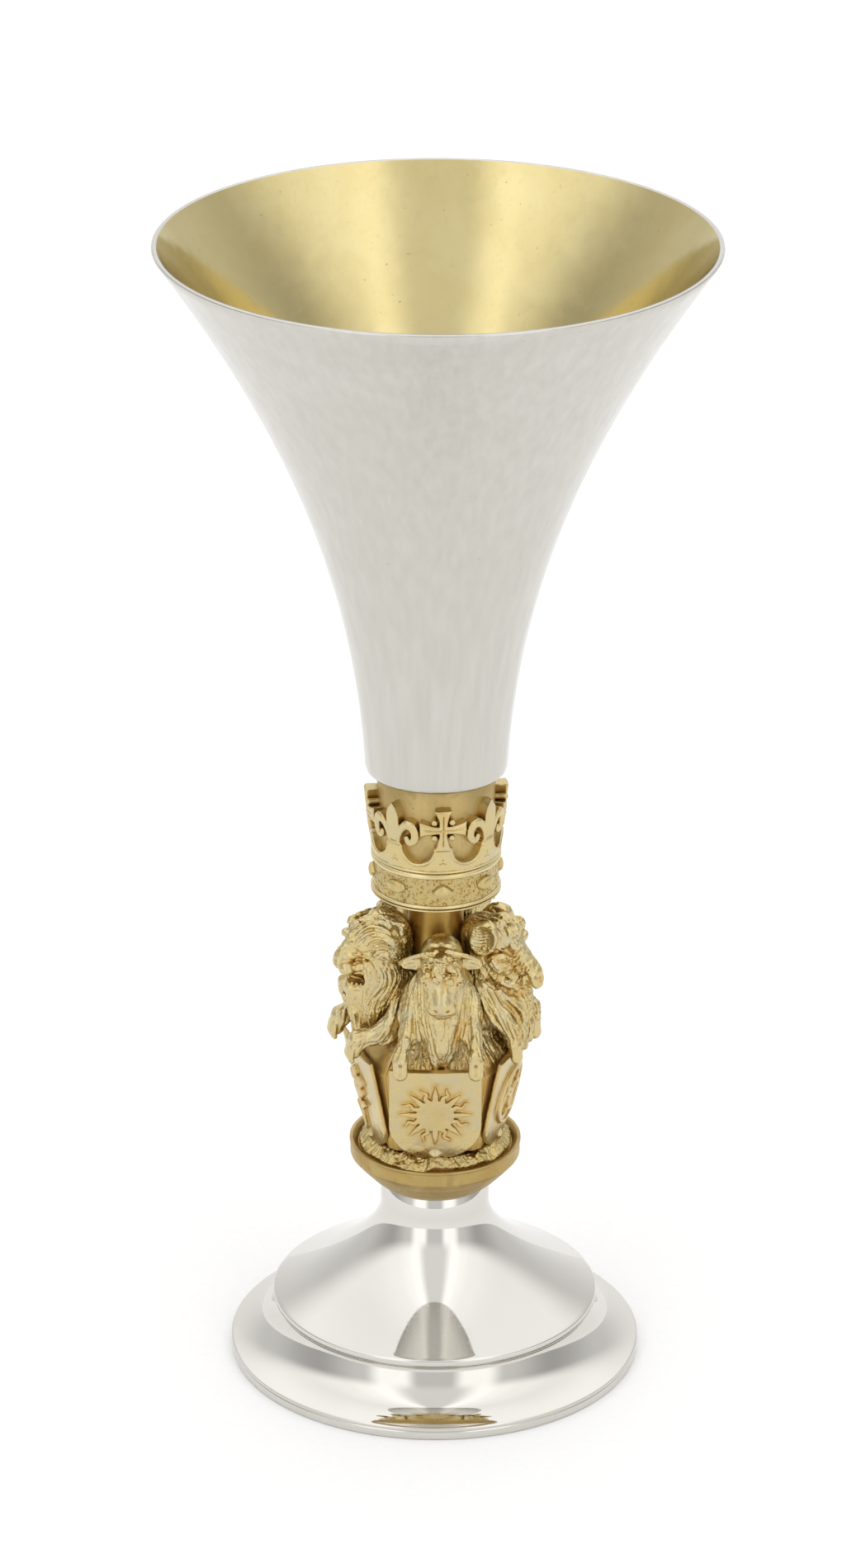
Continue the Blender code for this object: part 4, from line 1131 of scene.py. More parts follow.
def shape_lion(clay):
    """The lion: its mouth open, its mane in locks, its paws over the shield."""
    clay.ball((0, -8.0, 70.2), (4.6, 4.0, 5.2), soft=0.8)
    clay.ball((0, -9.4, 64.8), (4.7, 3.8, 6.2), (8, 0, 0), soft=0.8)
    clay.ball((0, -10.2, 60.2), (3.9, 3.1, 4.2), soft=0.8)
    clay.limb([(0, -12.6, 62.6), (0, -12.2, 58.8), (0, -11.8, 55.4)], [1.7, 1.6, 1.2], soft=0.6)
    arms = []
    for side in SIDES:
        arm = [(side * 4.7, -6.3, 61.4), (side * 5.5, -8.0, 58.6), (side * 5.4, -10.4, 57.1),
               (side * 4.9, -12.4, 56.7),
               (side * 4.5, -13.8, 56.3)]
        clay.limb(arm, [2.0, 1.9, 1.65, 1.4, 1.4], soft=0.4)
        arms.append(arm)
    # Head: a broad bridge, whisker pads, and the open mouth
    clay.ball((0, -10.6, 70.6), (3.2, 3.2, 3.6), soft=0.5)
    clay.ball((0, -12.0, 71.4), (2.4, 2.0, 2.3), soft=0.5)
    clay.limb([(0, -12.2, 69.4), (0, -14.2, 68.2)], [2.1, 1.25], soft=0.4)
    clay.limb([(0, -13.2, 70.8), (0, -15.4, 68.3)], [1.2, 0.9], soft=0.3)
    clay.ball((0, -15.6, 67.7), (1.15, 0.75, 0.75), (-25, 0, 0), soft=0.15)
    clay.limb([(0, -10.4, 64.2), (0, -13.3, 63.3)], [2.3, 1.35], soft=0.4)
    clay.ball((0, -13.9, 63.0), (1.1, 0.75, 0.9), soft=0.25)
    clay.ball((0, -13.2, 65.3), (3.9, 1.75, 1.3), (-24, 0, 0), soft=0.15, carve=True)
    clay.ball((0, -12.6, 64.7), (1.0, 1.6, 0.45), (-26, 0, 0), soft=0.1)
    for side in SIDES:
        clay.ball((side * 1.3, -14.55, 66.9), (1.4, 1.3, 1.2), (-15, 0, 0), soft=0.08)
        clay.ball((side * 0.5, -15.0, 69.3), (0.5, 0.55, 0.6), soft=0.2)
        clay.ball((side * 0.9, -13.7, 71.7), (0.8, 0.75, 0.7), soft=0.25)
        clay.ball((side * 0.8, -12.9, 73.6), (0.9, 0.8, 0.8), soft=0.25)
        clay.ball((side * 1.0, -13.9, 66.2), (1.2, 0.7, 0.6), (-15, 0, 0), soft=0.12)
        clay.ball((side * 2.0, -12.6, 67.3), (1.1, 1.3, 0.9), (0, 0, side * 20), soft=0.3)
        clay.limb([(side * 1.5, -13.9, 66.1), (side * 2.4, -12.7, 66.3), (side * 3.0, -11.5, 65.6),
                   (side * 3.0, -10.9, 64.3), (side * 2.5, -11.6, 63.3),
                   (side * 1.3, -13.5, 63.4)], 0.27, soft=0.12)
        clay.limb([(side * 2.7, -12.9, 67.0), (side * 3.3, -11.3, 66.3), (side * 3.4, -10.5, 64.6)], 0.18,
                  soft=0.1)
        for i in range(4):
            clay.ball((side * (1.2 + 0.4 * i), -13.7 + 0.6 * i, 64.15), (0.24, 0.26, 0.36), soft=0.08)
            clay.ball((side * (1.3 + 0.4 * i), -13.6 + 0.6 * i, 65.95), (0.2, 0.22, 0.28), soft=0.08)
        clay.limb([(side * 1.0, -14.1, 66.1), (side * 1.05, -14.2, 64.9)], [0.32, 0.08], soft=0.05)
        clay.ball((side * 0.55, -16.1, 67.45), 0.27, soft=0.06, carve=True)
        clay.limb([(side * 1.3, -15.4, 67.9), (side * 1.7, -14.3, 68.15), (side * 2.2, -13.3, 67.8)], 0.2,
                  soft=0.12,
                  carve=True)
        clay.ball((side * 2.55, -12.25, 68.5), (0.5, 0.6, 0.34), soft=0.08, carve=True)
        clay.ball((side * 2.25, -12.15, 68.5), 0.4, soft=0.04)
        clay.limb([(side * 1.7, -13.6, 69.3), (side * 2.4, -12.7, 69.2), (side * 3.0, -11.4, 68.8)], 0.2,
                  soft=0.25)
        clay.ball((side * 3.4, -9.9, 69.9), (1.1, 1.25, 1.0), soft=0.25)
        clay.ball((side * 4.3, -9.2, 69.7), (0.35, 0.5, 0.5), soft=0.1, carve=True)
    clay.limb([(0, -15.9, 67.0), (0, -15.6, 65.9)], 0.1, soft=0.08, carve=True)
    # Locks, laid on the surface: over the head, down the neck, and the beard
    draws = np.random.default_rng(53)
    guides = []
    for side in SIDES:
        paths = []
        for i in range(10):
            paths.append(curve((-13.6 + 0.34 * i, 73.2 - 0.42 * i), (-11.6 + 0.2 * i, 75.4 - 0.5 * i),
                               (-8.0, 75.4 - 0.6 * i), (-5.6 - 0.16 * i, 70.6 - 0.8 * i), steps=12))
        for i in range(11):
            shift = 0.58 * i
            bend = draws.uniform(-0.5, 0.5)
            paths.append(curve((-11.0 + shift, 68.4 - 0.15 * i), (-8.4 + shift + bend, 65.6),
                               (-12.2 + 0.9 * shift, 63.4 + bend), (-12.0 + 0.8 * shift, 59.6 + 0.12 * i),
                               steps=14))
        guides += clay.locks(paths, side, 0.26, draws)
        guides.append(curve((side * 1.2, -14, 63), (side * 1.4, -14, 61), (side * 1.0, -13, 58.5),
                            (side * 0.6, -13, 55)))
        guides.append(curve((side * 2.6, -12, 62.5), (side * 3, -12.4, 61), (side * 2.4, -12, 59),
                            (side * 1.6, -12, 55)))
    guides += [[np.array(p) for p in arm] for arm in arms]
    low, high = (-8.2, -15.2, 54.3), (8.2, -3.4, 77.6)
    bare = [((0, -14.6, 67.6), 3.4), ((0, -13.4, 64.8), 2.9), ((-4.45, -15.2, 54.2), 1.9),
            ((4.45, -15.2, 54.2), 1.9)]
    clay.brush(guides, low, high, 57, 0.7, 0.16, 5.0, bare)
    clay.brush(guides, low, high, 58, 0.36, 0.14, 3.6, bare)
    # Ears, far back on the mane
    for side in SIDES:
        clay.limb([(side * 3.0, -7.6, 74.0), (side * 4.0, -6.6, 73.4), (side * 4.4, -6.2, 72.0)],
                  [0.9, 1.3, 0.7],
                  soft=0.2, squash=((0, 1, 0), 0.7))
        clay.ball((side * 4.1, -7.7, 73.1), (0.8, 0.7, 1.1), (0, 0, side * 20), soft=0.12, carve=True)
    # Paws over the shield, with toes and claws
    for side in SIDES:
        x = side * 4.45
        clay.limb([(x, -13.9, 56.1), (x, -14.5, 54.6)], [1.6, 1.35], soft=0.4, squash=((0, 1, 0), 0.9))
        for i in range(4):
            across = x + (i - 1.5) * 0.68
            bow = 0.12 * abs(i - 1.5)
            clay.limb([(across, -15.1 + bow, 55.3), (across, -15.4 + bow, 54.0),
                       (across, -15.2 + bow, 53.3)],
                      [0.45, 0.48, 0.35], soft=0.12)
            clay.limb([(across, -15.4 + bow, 53.5), (across, -15.3 + bow, 52.7)], [0.17, 0.05], soft=0.05)
    clay.grain((-6, -17, 53), (6, -7, 76), 0.8, 0.05, 59)
    clay.grain((-4, -17, 65.6), (4, -11.5, 74.5), 0.9, 0.12, 60)


def shape_hart(clay):
    """The hart, with its antlers laid back."""
    clay.limb([(0, -6.9, 70), (0, -8.3, 65.5), (0, -8.0, 60)], [2.9, 3.3, 4.0], soft=1.0)
    clay.ball((0, -10.4, 59.2), (3.6, 3.2, 5.6), soft=0.9)
    clay.limb([(0, -11.4, 57), (0, -11.4, 53.6)], [2.2, 1.3], soft=0.7)
    for side in SIDES:
        clay.ball((side * 4.3, -8.0, 60.6), (2.0, 2.9, 3.8), soft=0.7)
        clay.limb([(side * 4.7, -9.2, 60.8), (side * 6.3, -12.6, 59.6), (side * 6.9, -14.6, 58.6),
                   (side * 6.6, -15.0, 56.9), (side * 6.0, -14.6, 55.4)], [1.6, 1.1, 0.9, 0.85,
                                                                           0.85], soft=0.4)
        hoof(clay, (side * 5.9, -14.1, 55.0), (side * 5.7, -14.3, 53.4), 0.95)
    guides = [curve((0, -9, 68), (0, -12, 63), (0, -13, 58), (0, -11.5, 51))]
    for side in SIDES:
        guides.append(curve((side * 2.6, -8, 69), (side * 3.6, -10, 64), (side * 2.4, -12, 58),
                            (side * 0.6, -11.5, 52)))
        guides.append(curve((side * 3.2, -6, 69), (side * 5.2, -8, 63), (side * 6, -12, 60.5),
                            (side * 6.9, -15, 58)))
        guides.append(curve((side * 4, -4.5, 70), (side * 6, -6, 64), (side * 6.4, -9, 58),
                            (side * 6.4, -9, 52)))
    low, high = (-9.4, -15.2, 51.6), (9.4, -3.4, 69.6)
    clay.brush(guides, low, high, 61, 0.8, 0.22, 5.0, [((0, -12.4, 68.4), 3.0)])
    clay.brush(guides, low, high, 62, 0.36, 0.14, 3.2, [((0, -12.4, 68.4), 3.0)])
    # Head
    clay.ball((0, -9.6, 71.4), (2.4, 2.4, 2.4), soft=0.5)
    clay.limb([(0, -10.6, 70.8), (0, -13.2, 68.4), (0, -15.2, 66.6)], [2.1, 1.5, 1.1], soft=0.5)
    clay.limb([(0, -9.6, 68.4), (0, -12.6, 66.8), (0, -14.8, 65.9)], [1.7, 1.1, 0.85], soft=0.4)
    clay.ball((0, -15.7, 66.6), (0.95, 0.75, 0.75), soft=0.2)
    for side in SIDES:
        clay.ball((side * 1.75, -11.9, 70.4), (0.55, 0.75, 0.6), soft=0.12, carve=True)
        clay.ball((side * 1.6, -11.7, 70.3), 0.5, soft=0.05)
        clay.limb([(side * 1.1, -12.9, 70.9), (side * 1.8, -12.1, 71.1), (side * 2.2, -11.0, 70.7)], 0.25,
                  soft=0.15)
        clay.ball((side * 0.5, -16.3, 66.7), (0.2, 0.35, 0.2), soft=0.06, carve=True)
        clay.limb([(side * 0.9, -15.7, 66.0), (side * 1.2, -13.6, 66.7)], 0.1, soft=0.1, carve=True)
        clay.limb([(side * 2.2, -8.9, 71.9), (side * 4.0, -8.6, 72.6), (side * 5.5, -8.2, 72.4)],
                  [0.6, 1.0, 0.15],
                  soft=0.15, squash=((0, 1, 0), 0.6))
        clay.limb([(side * 2.9, -9.6, 72.1), (side * 4.0, -9.3, 72.5), (side * 4.8, -8.9, 72.4)],
                  [0.3, 0.5, 0.2],
                  soft=0.1, carve=True)
        # An antler, laid back against the column
        beam = curve((side * 1.1, -9.4, 73.4), (side * 2.2, -9.6, 75.2), (side * 4.4, -9.0, 76.0),
                     (side * 4.3, -7.0, 77.2), steps=10)
        clay.limb(beam, np.linspace(0.52, 0.3, len(beam)), soft=0.15)
        for at, tip in ((2, (side * 1.1, -11.3, 75.2)), (5, (side * 4.0, -11.4, 76.6)),
                        (8, (side * 5.6, -8.6, 77.3))):
            clay.limb([beam[at], tip], [0.34, 0.1], soft=0.15)
    clay.grain((-6, -17, 53), (6, -7, 76), 0.8, 0.05, 67)


def shape_falcon(clay):
    """The falcon: feathered, with folded wings and a hooked bill."""
    clay.limb([(0, -6.6, 72.5), (0, -7.6, 67), (0, -8.0, 60)], [3.0, 3.6, 4.4], soft=1.0)
    clay.ball((0, -10.0, 60.6), (4.2, 3.4, 6.0), soft=0.9)
    clay.limb([(0, -11.4, 57), (0, -11.2, 53.6)], [2.2, 1.2], soft=0.7)
    for side in SIDES:
        # A folded wing whose tip droops over the shield's corner
        clay.ball((side * 5.0, -8.0, 63.5), (1.7, 3.4, 5.2), (20, side * 4, 0), soft=0.5)
        clay.limb([(side * 5.3, -8.6, 67.2), (side * 6.6, -10.6, 64.6), (side * 7.9, -12.6, 61.4),
                   (side * 8.3, -13.3, 58.2)], [1.5, 1.45, 1.1,
                                                0.35], soft=0.4, squash=((side * 0.8, 0.6, 0), 0.55))
    for side in SIDES:
        for row in range(5):
            for i in range(4):
                t = i / 3
                y, z = -6.0 - 1.0 * row - 1.1 * t, 66.8 - 1.3 * row - 2.3 * i + 0.5 * row
                place = clay.touch(0, side, y, z)
                if place:
                    lower = clay.touch(0, side, y - 0.5, z - 1.9) or place
                    clay.limb([place, lower], [0.42, 0.5], soft=0.1)
                    tip = np.array(lower) + (side * 0.25, -0.25, -0.45)
                    clay.ball(tip, (0.75, 0.5, 0.25), soft=0.08, carve=True)
    for row in range(11):
        z = 68.2 - 1.25 * row
        for i in range(7):
            x = (i - 3 + 0.5 * (row % 2)) * 1.15
            place = clay.touch(1, -1, x, z)
            if place:
                place = np.array(place)
                clay.limb([place + (0, 0.1, 0.3), place + (0, 0.0, -0.6)], [0.42, 0.5], soft=0.12)
                clay.limb([place + (-0.45, -0.35, -0.95), place + (0.45, -0.35, -0.95)], 0.16, soft=0.1,
                          carve=True)
    for side in SIDES:
        clay.limb([(side * 3.2, -10.4, 57.4), (side * 3.9, -12.4, 55.9), (side * 4.1, -12.9, 54.6)],
                  [1.6, 0.9, 0.75],
                  soft=0.4)
        for i in range(3):
            across = side * 4.1 + (i - 1) * 0.9
            toe = curve((side * 4.1, -12.7, 54.6), (across, -13.6, 54.9), (across, -14.3, 54.2),
                        (across, -14.0, 52.9),
                        steps=6)
            clay.limb(toe, [0.5, 0.5, 0.48, 0.45, 0.4, 0.28, 0.1], soft=0.12)
    # Head and hooked bill
    clay.ball((0, -9.3, 73.3), (3.0, 3.2, 3.1), soft=0.5)
    clay.ball((0, -11.5, 73.6), (1.9, 1.5, 1.6), soft=0.4)
    bill = curve((0, -12.2, 73.4), (0, -14.6, 73.6), (0, -15.7, 72.2), (0, -15.2, 70.4), steps=8)
    clay.limb(bill, np.linspace(1.3, 0.16, len(bill)), soft=0.3, squash=((1, 0, 0), 0.75))
    clay.limb([(0, -11.8, 72.0), (0, -14.0, 71.3)], [1.1, 0.5], soft=0.2)
    for side in SIDES:
        clay.limb([(side * 0.6, -14.5, 72.0), (side * 1.3, -12.2, 72.3)], 0.1, soft=0.1, carve=True)
        clay.ball((side * 0.75, -13.9, 73.5), 0.22, soft=0.06, carve=True)
        clay.ball((side * 1.95, -12.0, 73.7), (0.6, 0.7, 0.6), soft=0.1, carve=True)
        clay.ball((side * 1.75, -11.85, 73.65), 0.52, soft=0.05)
        clay.limb([(side * 1.0, -13.2, 74.4), (side * 1.9, -12.4, 74.6), (side * 2.6, -11.0, 74.2)], 0.32,
                  soft=0.15)
    crown = [curve((side * 1.2, -13, 74.5), (side * 2.6, -11, 75), (side * 3.2, -8.5, 73.5),
                   (side * 3.2, -7.5, 69))
             for side in SIDES]
    clay.brush(crown, (-4.6, -12.4, 68.4), (4.6, -4, 77.4), 73, 0.45, 0.17, 2.0)
    clay.grain((-9, -17, 53), (9, -6, 77), 0.8, 0.05, 79)


def core_shade(points, hollow):
    """Paints shade on the core between the shields, low down: its hollow is pulled towards 0.68, an even
    brown.
    """
    out = np.hypot(points[:, 0], points[:, 1])
    low = np.clip((55.0 - points[:, 2]) / 3, 0, 1)
    share = low * np.clip((14.3 - out) / 0.4, 0, 1) * np.clip((14.8 + points[:, 1]) / 0.5, 0, 1)
    hollow = hollow + share * (0.68 - hollow)
    # Painted light: above z 69.5 mm the hollow fades to half, so less painted shade and paler tops to the
    # heads.
    return hollow * (1 - 0.5 * np.clip((points[:, 2] - 69.5) / 2, 0, 1))


def make_beasts(material):
    """The five beasts, each cut to its fifth of the ring and turned to its place."""
    shapers = {"bull": shape_bull, "boar": shape_boar, "falcon": shape_falcon, "hart": shape_hart,
               "lion": shape_lion}
    for index, name in enumerate(BEASTS):
        clay = beast_clay()
        shapers[name](clay)
        clay.keep_outside(COLUMN_KEEP)
        clay.keep_wedge(BEAST_WEDGE)
        clay.keep_below(min(node_high("beast_" + name).z / MM + 2.0, CROWN_BOTTOM_Z / MM - 0.25))
        angle = index * TAU / len(BEASTS)
        piece = clay.piece("beast_" + name + "_chased", turn_by(angle), core_shade)
        finish_piece(piece, "gilt_cast", material, "beast_" + name)


def turn_by(angle):
    """A function that turns points about the axis."""
    cosine, sine = math.cos(angle), math.sin(angle)

    def bend(points):
        x, y, z = points.T
        return np.stack([x * cosine - y * sine, x * sine + y * cosine, z], axis=1)
    return bend


# ---------------------------------------------------------------- flat patterns
# Signed distances in millimetres over a flat (u, v) grid. Negative is inside.

def disc(u, v, centre, radius):
    """A round of a radius about a centre."""
    return np.hypot(u - centre[0], v - centre[1]) - radius


def stroke(u, v, points, radii):
    """A brush stroke along points, with a radius at each."""
    points = np.array(points, float)
    radii = np.broadcast_to(np.array(radii, float), len(points))
    best = np.full(np.broadcast(u, v).shape, FAR)
    for a, b, ra, rb in zip(points[:-1], points[1:], radii[:-1], radii[1:]):
        run = b - a
        t = np.clip(((u - a[0]) * run[0] + (v - a[1]) * run[1]) / (run @ run), 0, 1)
        best = np.minimum(best, np.hypot(u - a[0] - t * run[0],
                                         v - a[1] - t * run[1]) - (ra + t * (rb - ra)))
    return best


def polygon(u, v, points):
    """The inside of a closed outline."""
    points = np.array(points, float)
    best = np.full(np.broadcast(u, v).shape, FAR)
    inside = np.zeros(best.shape, bool)
    for a, b in zip(points, np.roll(points, -1, axis=0)):
        run = b - a
        t = np.clip(((u - a[0]) * run[0] + (v - a[1]) * run[1]) / (run @ run), 0, 1)
        best = np.minimum(best, np.hypot(u - a[0] - t * run[0], v - a[1] - t * run[1]))
        if a[1] != b[1]:
            spans = (a[1] > v) != (b[1] > v)
            inside ^= spans & (u < a[0] + (v - a[1]) * run[0] / run[1])
    return np.where(inside, -best, best)


def arc(centre, radius, start, end, steps=16):
    """Points along an arc, with angles in degrees anticlockwise from +u."""
    return [polar(radius, a, centre) for a in np.linspace(start, end, steps)]


def polar(radius, degrees, centre=(0, 0)):
    """A point at a radius and an angle, anticlockwise from +u."""
    angle = math.radians(degrees)
    return centre[0] + radius * math.cos(angle), centre[1] + radius * math.sin(angle)


def join(*shapes):
    """The union of flat patterns."""
    best = shapes[0]
    for shape in shapes[1:]:
        best = np.minimum(best, shape)
    return best


# ---------------------------------------------------------------- crown

CROWN_TURN = math.radians(6)
CROWN_STEP = 0.1
CROWN_UNROLL = 10.4
CROWN_SECTOR = CROWN_UNROLL * TAU / 4
SCALLOP = (CROWN_SECTOR / 4, 88.45)
CROSS_Z = 91.6


def cross_shape(u, v):
    """A cross with arms that widen, balls in its angles, and its incised lines."""
    z = CROSS_Z
    arms = []
    for turn, reach, wide in ((0, 3.65, 1.3), (90, 3.25, 1.35), (180, 3.65, 1.3), (270, 3.55, 1.45)):
        side = bezier([(0.35, 0.62), (1.2, 0.62), (2.3, 0.8), (reach, wide)], 8)
        outline = [(p[0], p[1]) for p in side] + [(p[0], -p[1]) for p in side[::-1]]
        c, s = math.cos(math.radians(turn)), math.sin(math.radians(turn))
        arms.append(polygon(u, v, [(x * c - y * s, z + x * s + y * c) for x, y in outline]))
    balls = [disc(u, v, (a, z + b), 0.5) for a in (-1.35, 1.35) for b in (-1.25, 1.35)]
    lines = [stroke(u, v, [(0, z - 2.6), (0, z + 2.4)], 0.07), stroke(u, v, [(-2.8, z), (2.8, z)], 0.07)]
    return join(disc(u, v, (0, z), 0.85), *arms), join(*balls), join(*lines)


def lily_shape(u, v):
    """A lily with a pointed middle petal, two curled side petals and a band."""
    petal = [(0, 95.35), *[tuple(p) for p in bezier([(0.3, 94.9), (1.45, 93.6), (1.5, 91.4), (0.5, 89.0)],
                                                    8)],
             *[tuple(p) for p in bezier([(-0.5, 89.0), (-1.5, 91.4), (-1.45, 93.6), (-0.3, 94.9)], 8)]]
    shapes = [polygon(u, v, petal)]
    for side in SIDES:
        path = bezier([(side * 0.8, 89.2), (side * 1.4, 92.4), (side * 3.2, 93.0), (side * 3.75, 91.0)], 10)
        hook = bezier([(side * 3.75, 91.0), (side * 4.0, 89.0), (side * 2.5, 88.7), (side * 2.4, 89.9)], 8)
        points = [tuple(p) for p in path] + [tuple(p) for p in hook[1:]]
        shapes.append(stroke(u, v, points,
                             np.interp(np.arange(len(points)), [0, 6, 12, 18], [0.35, 0.8, 0.62, 0.42])))
    band = stroke(u, v, [(-0.95, 88.75), (0.95, 88.75)], 0.36)
    foot = polygon(u, v, [(-0.65, 88.6), (0.65, 88.6), (1.35, 86.9), (-1.35, 86.9)])
    return join(*shapes), band, foot


def crest_pattern():
    """Two tables over one quarter of the crown: distance to the outline, and how far it stands proud."""
    step = 0.05
    u = np.arange(-CROWN_SECTOR / 2, CROWN_SECTOR / 2 + step, step)[:, None]
    v = np.arange(84.0, 96.0, step)[None, :]
    base = np.broadcast_to(v - 88.6, (u.shape[0], v.shape[1]))
    arches = []
    for side in SIDES:
        hole = disc(u, v, (side * SCALLOP[0], SCALLOP[1]), 2.62)
        base = np.maximum(base, -hole)
        arches.append(stroke(u, v, arc((side * SCALLOP[0], SCALLOP[1]), 2.86, 195, 345), 0.3))
    cross, balls, lines = cross_shape(u, v)
    lilies = [lily_shape(u - shift, v) for shift in (-CROWN_SECTOR / 2, CROWN_SECTOR / 2)]
    lily = join(*[one[0] for one in lilies])
    bands = join(*[one[1] for one in lilies])
    feet = join(*[one[2] for one in lilies])
    arches = join(*arches)
    outline = join(base, arches, cross, balls, lily, bands, feet)
    proud = 0.16 * np.clip(-arches / 0.25, 0, 1) + 0.28 * np.sqrt(np.clip(-lily / 0.6, 0, 1))
    proud = np.maximum(proud, 0.34 * np.clip(-bands / 0.3, 0, 1))
    proud = np.maximum(proud, 0.30 * np.sqrt(np.clip(-balls / 0.42, 0, 1)))
    proud = np.maximum(proud, 0.22 * np.clip(-cross / 0.3, 0, 1))
    proud = proud - 0.24 * np.clip(-(lines - 0.05) / 0.1, 0, 1)
    for middle in (0, -CROWN_SECTOR / 2, CROWN_SECTOR / 2):
        marks = [(middle, 86.55), (middle - 0.42, 85.85), (middle + 0.42, 85.85), (middle, 86.0)]
        pricks = join(*[disc(u, v, mark, 0.14) for mark in marks])
        proud = proud - 0.22 * np.clip(-(pricks - 0.04) / 0.12, 0, 1)
    return u[0, 0], 84.0, step, outline, proud


def make_cresting(material):
    """The cast cresting: the flat pattern wrapped four times round the drum, with a worn surface."""
    low, high = node_low("crown_cresting").z / MM - 0.35, node_high("crown_cresting").z / MM + 0.2
    reach = node_high("crown_cresting").x / MM + 0.4
    clay = Clay((-reach, -reach, low - 0.3), (reach, reach, high + 0.3), CROWN_STEP)
    x, y, z = clay.everywhere()[1:]
    radius = np.sqrt(x * x + y * y)[:, :, 0]
    i, j = np.nonzero((radius > 8.3) & (radius < reach + 0.2))
    r = radius[i, j][:, None]
    turn = np.arctan2(x[i, 0, 0], -y[0, j, 0])[:, None] - CROWN_TURN
    z = z[0]
    first_u, first_v, step, outline, proud = crest_pattern()
    along = (turn * CROWN_UNROLL + CROWN_SECTOR / 2) % CROWN_SECTOR - CROWN_SECTOR / 2
    at_u, at_v = (along - first_u) / step, np.broadcast_to((z - first_v) / step, (1, z.shape[1]))
    flat = [table_at(table, at_u, at_v) for table in (outline, proud)]
    front = 9.78 + (z - 85.0) * 0.095 + flat[1]
    wall = np.maximum(r - front, 8.7 - r)
    field = -smooth_min(-flat[0], -wall, 0.16)
    field = np.maximum(field, np.maximum(low - z, z - high))
    lump = noise(r * np.cos(turn) * 1.3 + 20, r * np.sin(turn) * 1.3 + 20, z * 1.3 + 0 * r, 101)
    clay.field[i, j, :] = (field + 0.09 * (lump - 0.5)).astype(np.float32)
    finish_piece(clay.piece("crown_cresting_cast"), "gilt_cast", material, "crown_cresting")


def table_at(table, at_u, at_v):
    """The table's value between its grid points."""
    at_u, at_v = np.broadcast_arrays(at_u, at_v)
    i = np.clip(at_u.astype(int), 0, table.shape[0] - 2)
    j = np.clip(at_v.astype(int), 0, table.shape[1] - 2)
    fu, fv = at_u - i, at_v - j
    return ((1 - fu) * (1 - fv) * table[i, j] + fu * (1 - fv) * table[i + 1, j]
            + (1 - fu) * fv * table[i, j + 1] + fu * fv * table[i + 1, j + 1])


def make_circlet_band(material):
    """The band between the beads, roughened all over with small punched pits."""
    low, high = node_low("circlet_lower_bead").z / MM + 0.9, node_low("circlet_upper_bead").z / MM + 0.1
    radius = node_high("circlet_band").x / MM
    count, rows, pits = 680, 48, 1500
    angles = np.arange(count) * TAU / count
    heights = np.linspace(high, low, rows)
    draws = np.random.default_rng(SEED)
    depth = np.zeros((count, rows))
    for _ in range(pits):
        centre, z = draws.uniform(0, TAU), draws.uniform(low, high)
        size, deep = draws.uniform(0.13, 0.22), draws.uniform(0.05, 0.13)
        away = (angles - centre + math.pi) % TAU - math.pi
        gap = np.hypot(away[:, None] * radius, heights[None, :] - z) / size
        depth = np.maximum(depth, deep * np.clip(1 - gap * gap, 0, 1))
    swell = noise(angles[:, None] * 14, heights[None, :] * 1.4, 0 * depth, 5)
    front = radius - depth + 0.05 * (swell - 0.6)
    outer = np.stack([front * np.sin(angles)[:, None], -front * np.cos(angles)[:, None],
                      np.broadcast_to(heights, front.shape)], axis=2)
    back = radius - 0.7
    ends = [np.stack([back * np.sin(angles), -back * np.cos(angles), np.full(count, z)], axis=1)[:, None]
            for z in (high, low)]
    rings = np.concatenate([ends[0], outer, ends[1]], axis=1)
    total = rings.shape[1]
    piece = add_mesh("circlet_band_punched", rings.reshape(-1, 3) * MM, ring_faces(count, total), 60)
    # Painted shade and patina in the pits: each pit's depth sets the hollow, up to 0.8, so the gilding
    # browns it.
    hollow = np.zeros((count, total), np.float32)
    hollow[:, 1:-1] = np.clip(depth / 0.13, 0, 0.8)
    mark_hollow(piece, hollow)
    finish_piece(piece, "gilt_cast", material, "circlet_band")


def make_jewels(material):
    """Raised lozenges and ovals, by turns, round the circlet."""
    steps, rings = 40, 9
    radius, middle = 9.42, 81.3
    for index in range(8):
        lozenge = index % 2 == 0
        name = ("jewel_lozenge_" if lozenge else "jewel_oval_") + str(index // 2 + 1)
        angle = CROWN_TURN + index * TAU / 8
        half_u, half_v, power = (1.68, 1.32, 1.25) if lozenge else (1.82, 1.1, 2.1)
        points = []
        for ring in range(rings + 1):
            share = ring / rings
            inner = min(share / 0.94, 1.0)
            rise = 0.86 - 0.34 * inner**1.6 if lozenge else 0.32 + 0.52 * math.sqrt(max(0.0,
                                                                                        1 - inner**2.2))
            height = rise if share < 0.99 else -0.12
            if ring == rings - 1:
                height = 0.30
            for k in range(steps):
                a = k * TAU / steps
                c, s = math.cos(a), math.sin(a)
                bound = (abs(c / half_u) ** power + abs(s / half_v) ** power) ** (-1 / power)
                spread = max(share, 0.001) if ring < rings else 1.03
                u, v = bound * spread * c, bound * spread * s
                turn, r = angle + u / radius, radius + height
                points.append((r * math.sin(turn), -r * math.cos(turn), middle + v))
        faces = []
        for ring in range(rings):
            for k in range(steps):
                k_next = (k + 1) % steps
                faces.append((ring * steps + k, (ring + 1) * steps + k, (ring + 1) * steps + k_next,
                              ring * steps + k_next))
        piece = add_mesh(name + "_set", np.array(points) * MM, faces, 40)
        close_ends(piece)
        finish_piece(piece, "gilt_bright", material, name)


def close_ends(piece):
    """Closes the open rings of a small piece and makes its faces look outwards."""
    shape = bmesh.new()
    shape.from_mesh(piece.data)
    bmesh.ops.holes_fill(shape, edges=[e for e in shape.edges if e.is_boundary])
    bmesh.ops.recalc_face_normals(shape, faces=shape.faces)
    shape.to_mesh(piece.data)
    shape.free()


# ---------------------------------------------------------------- shields

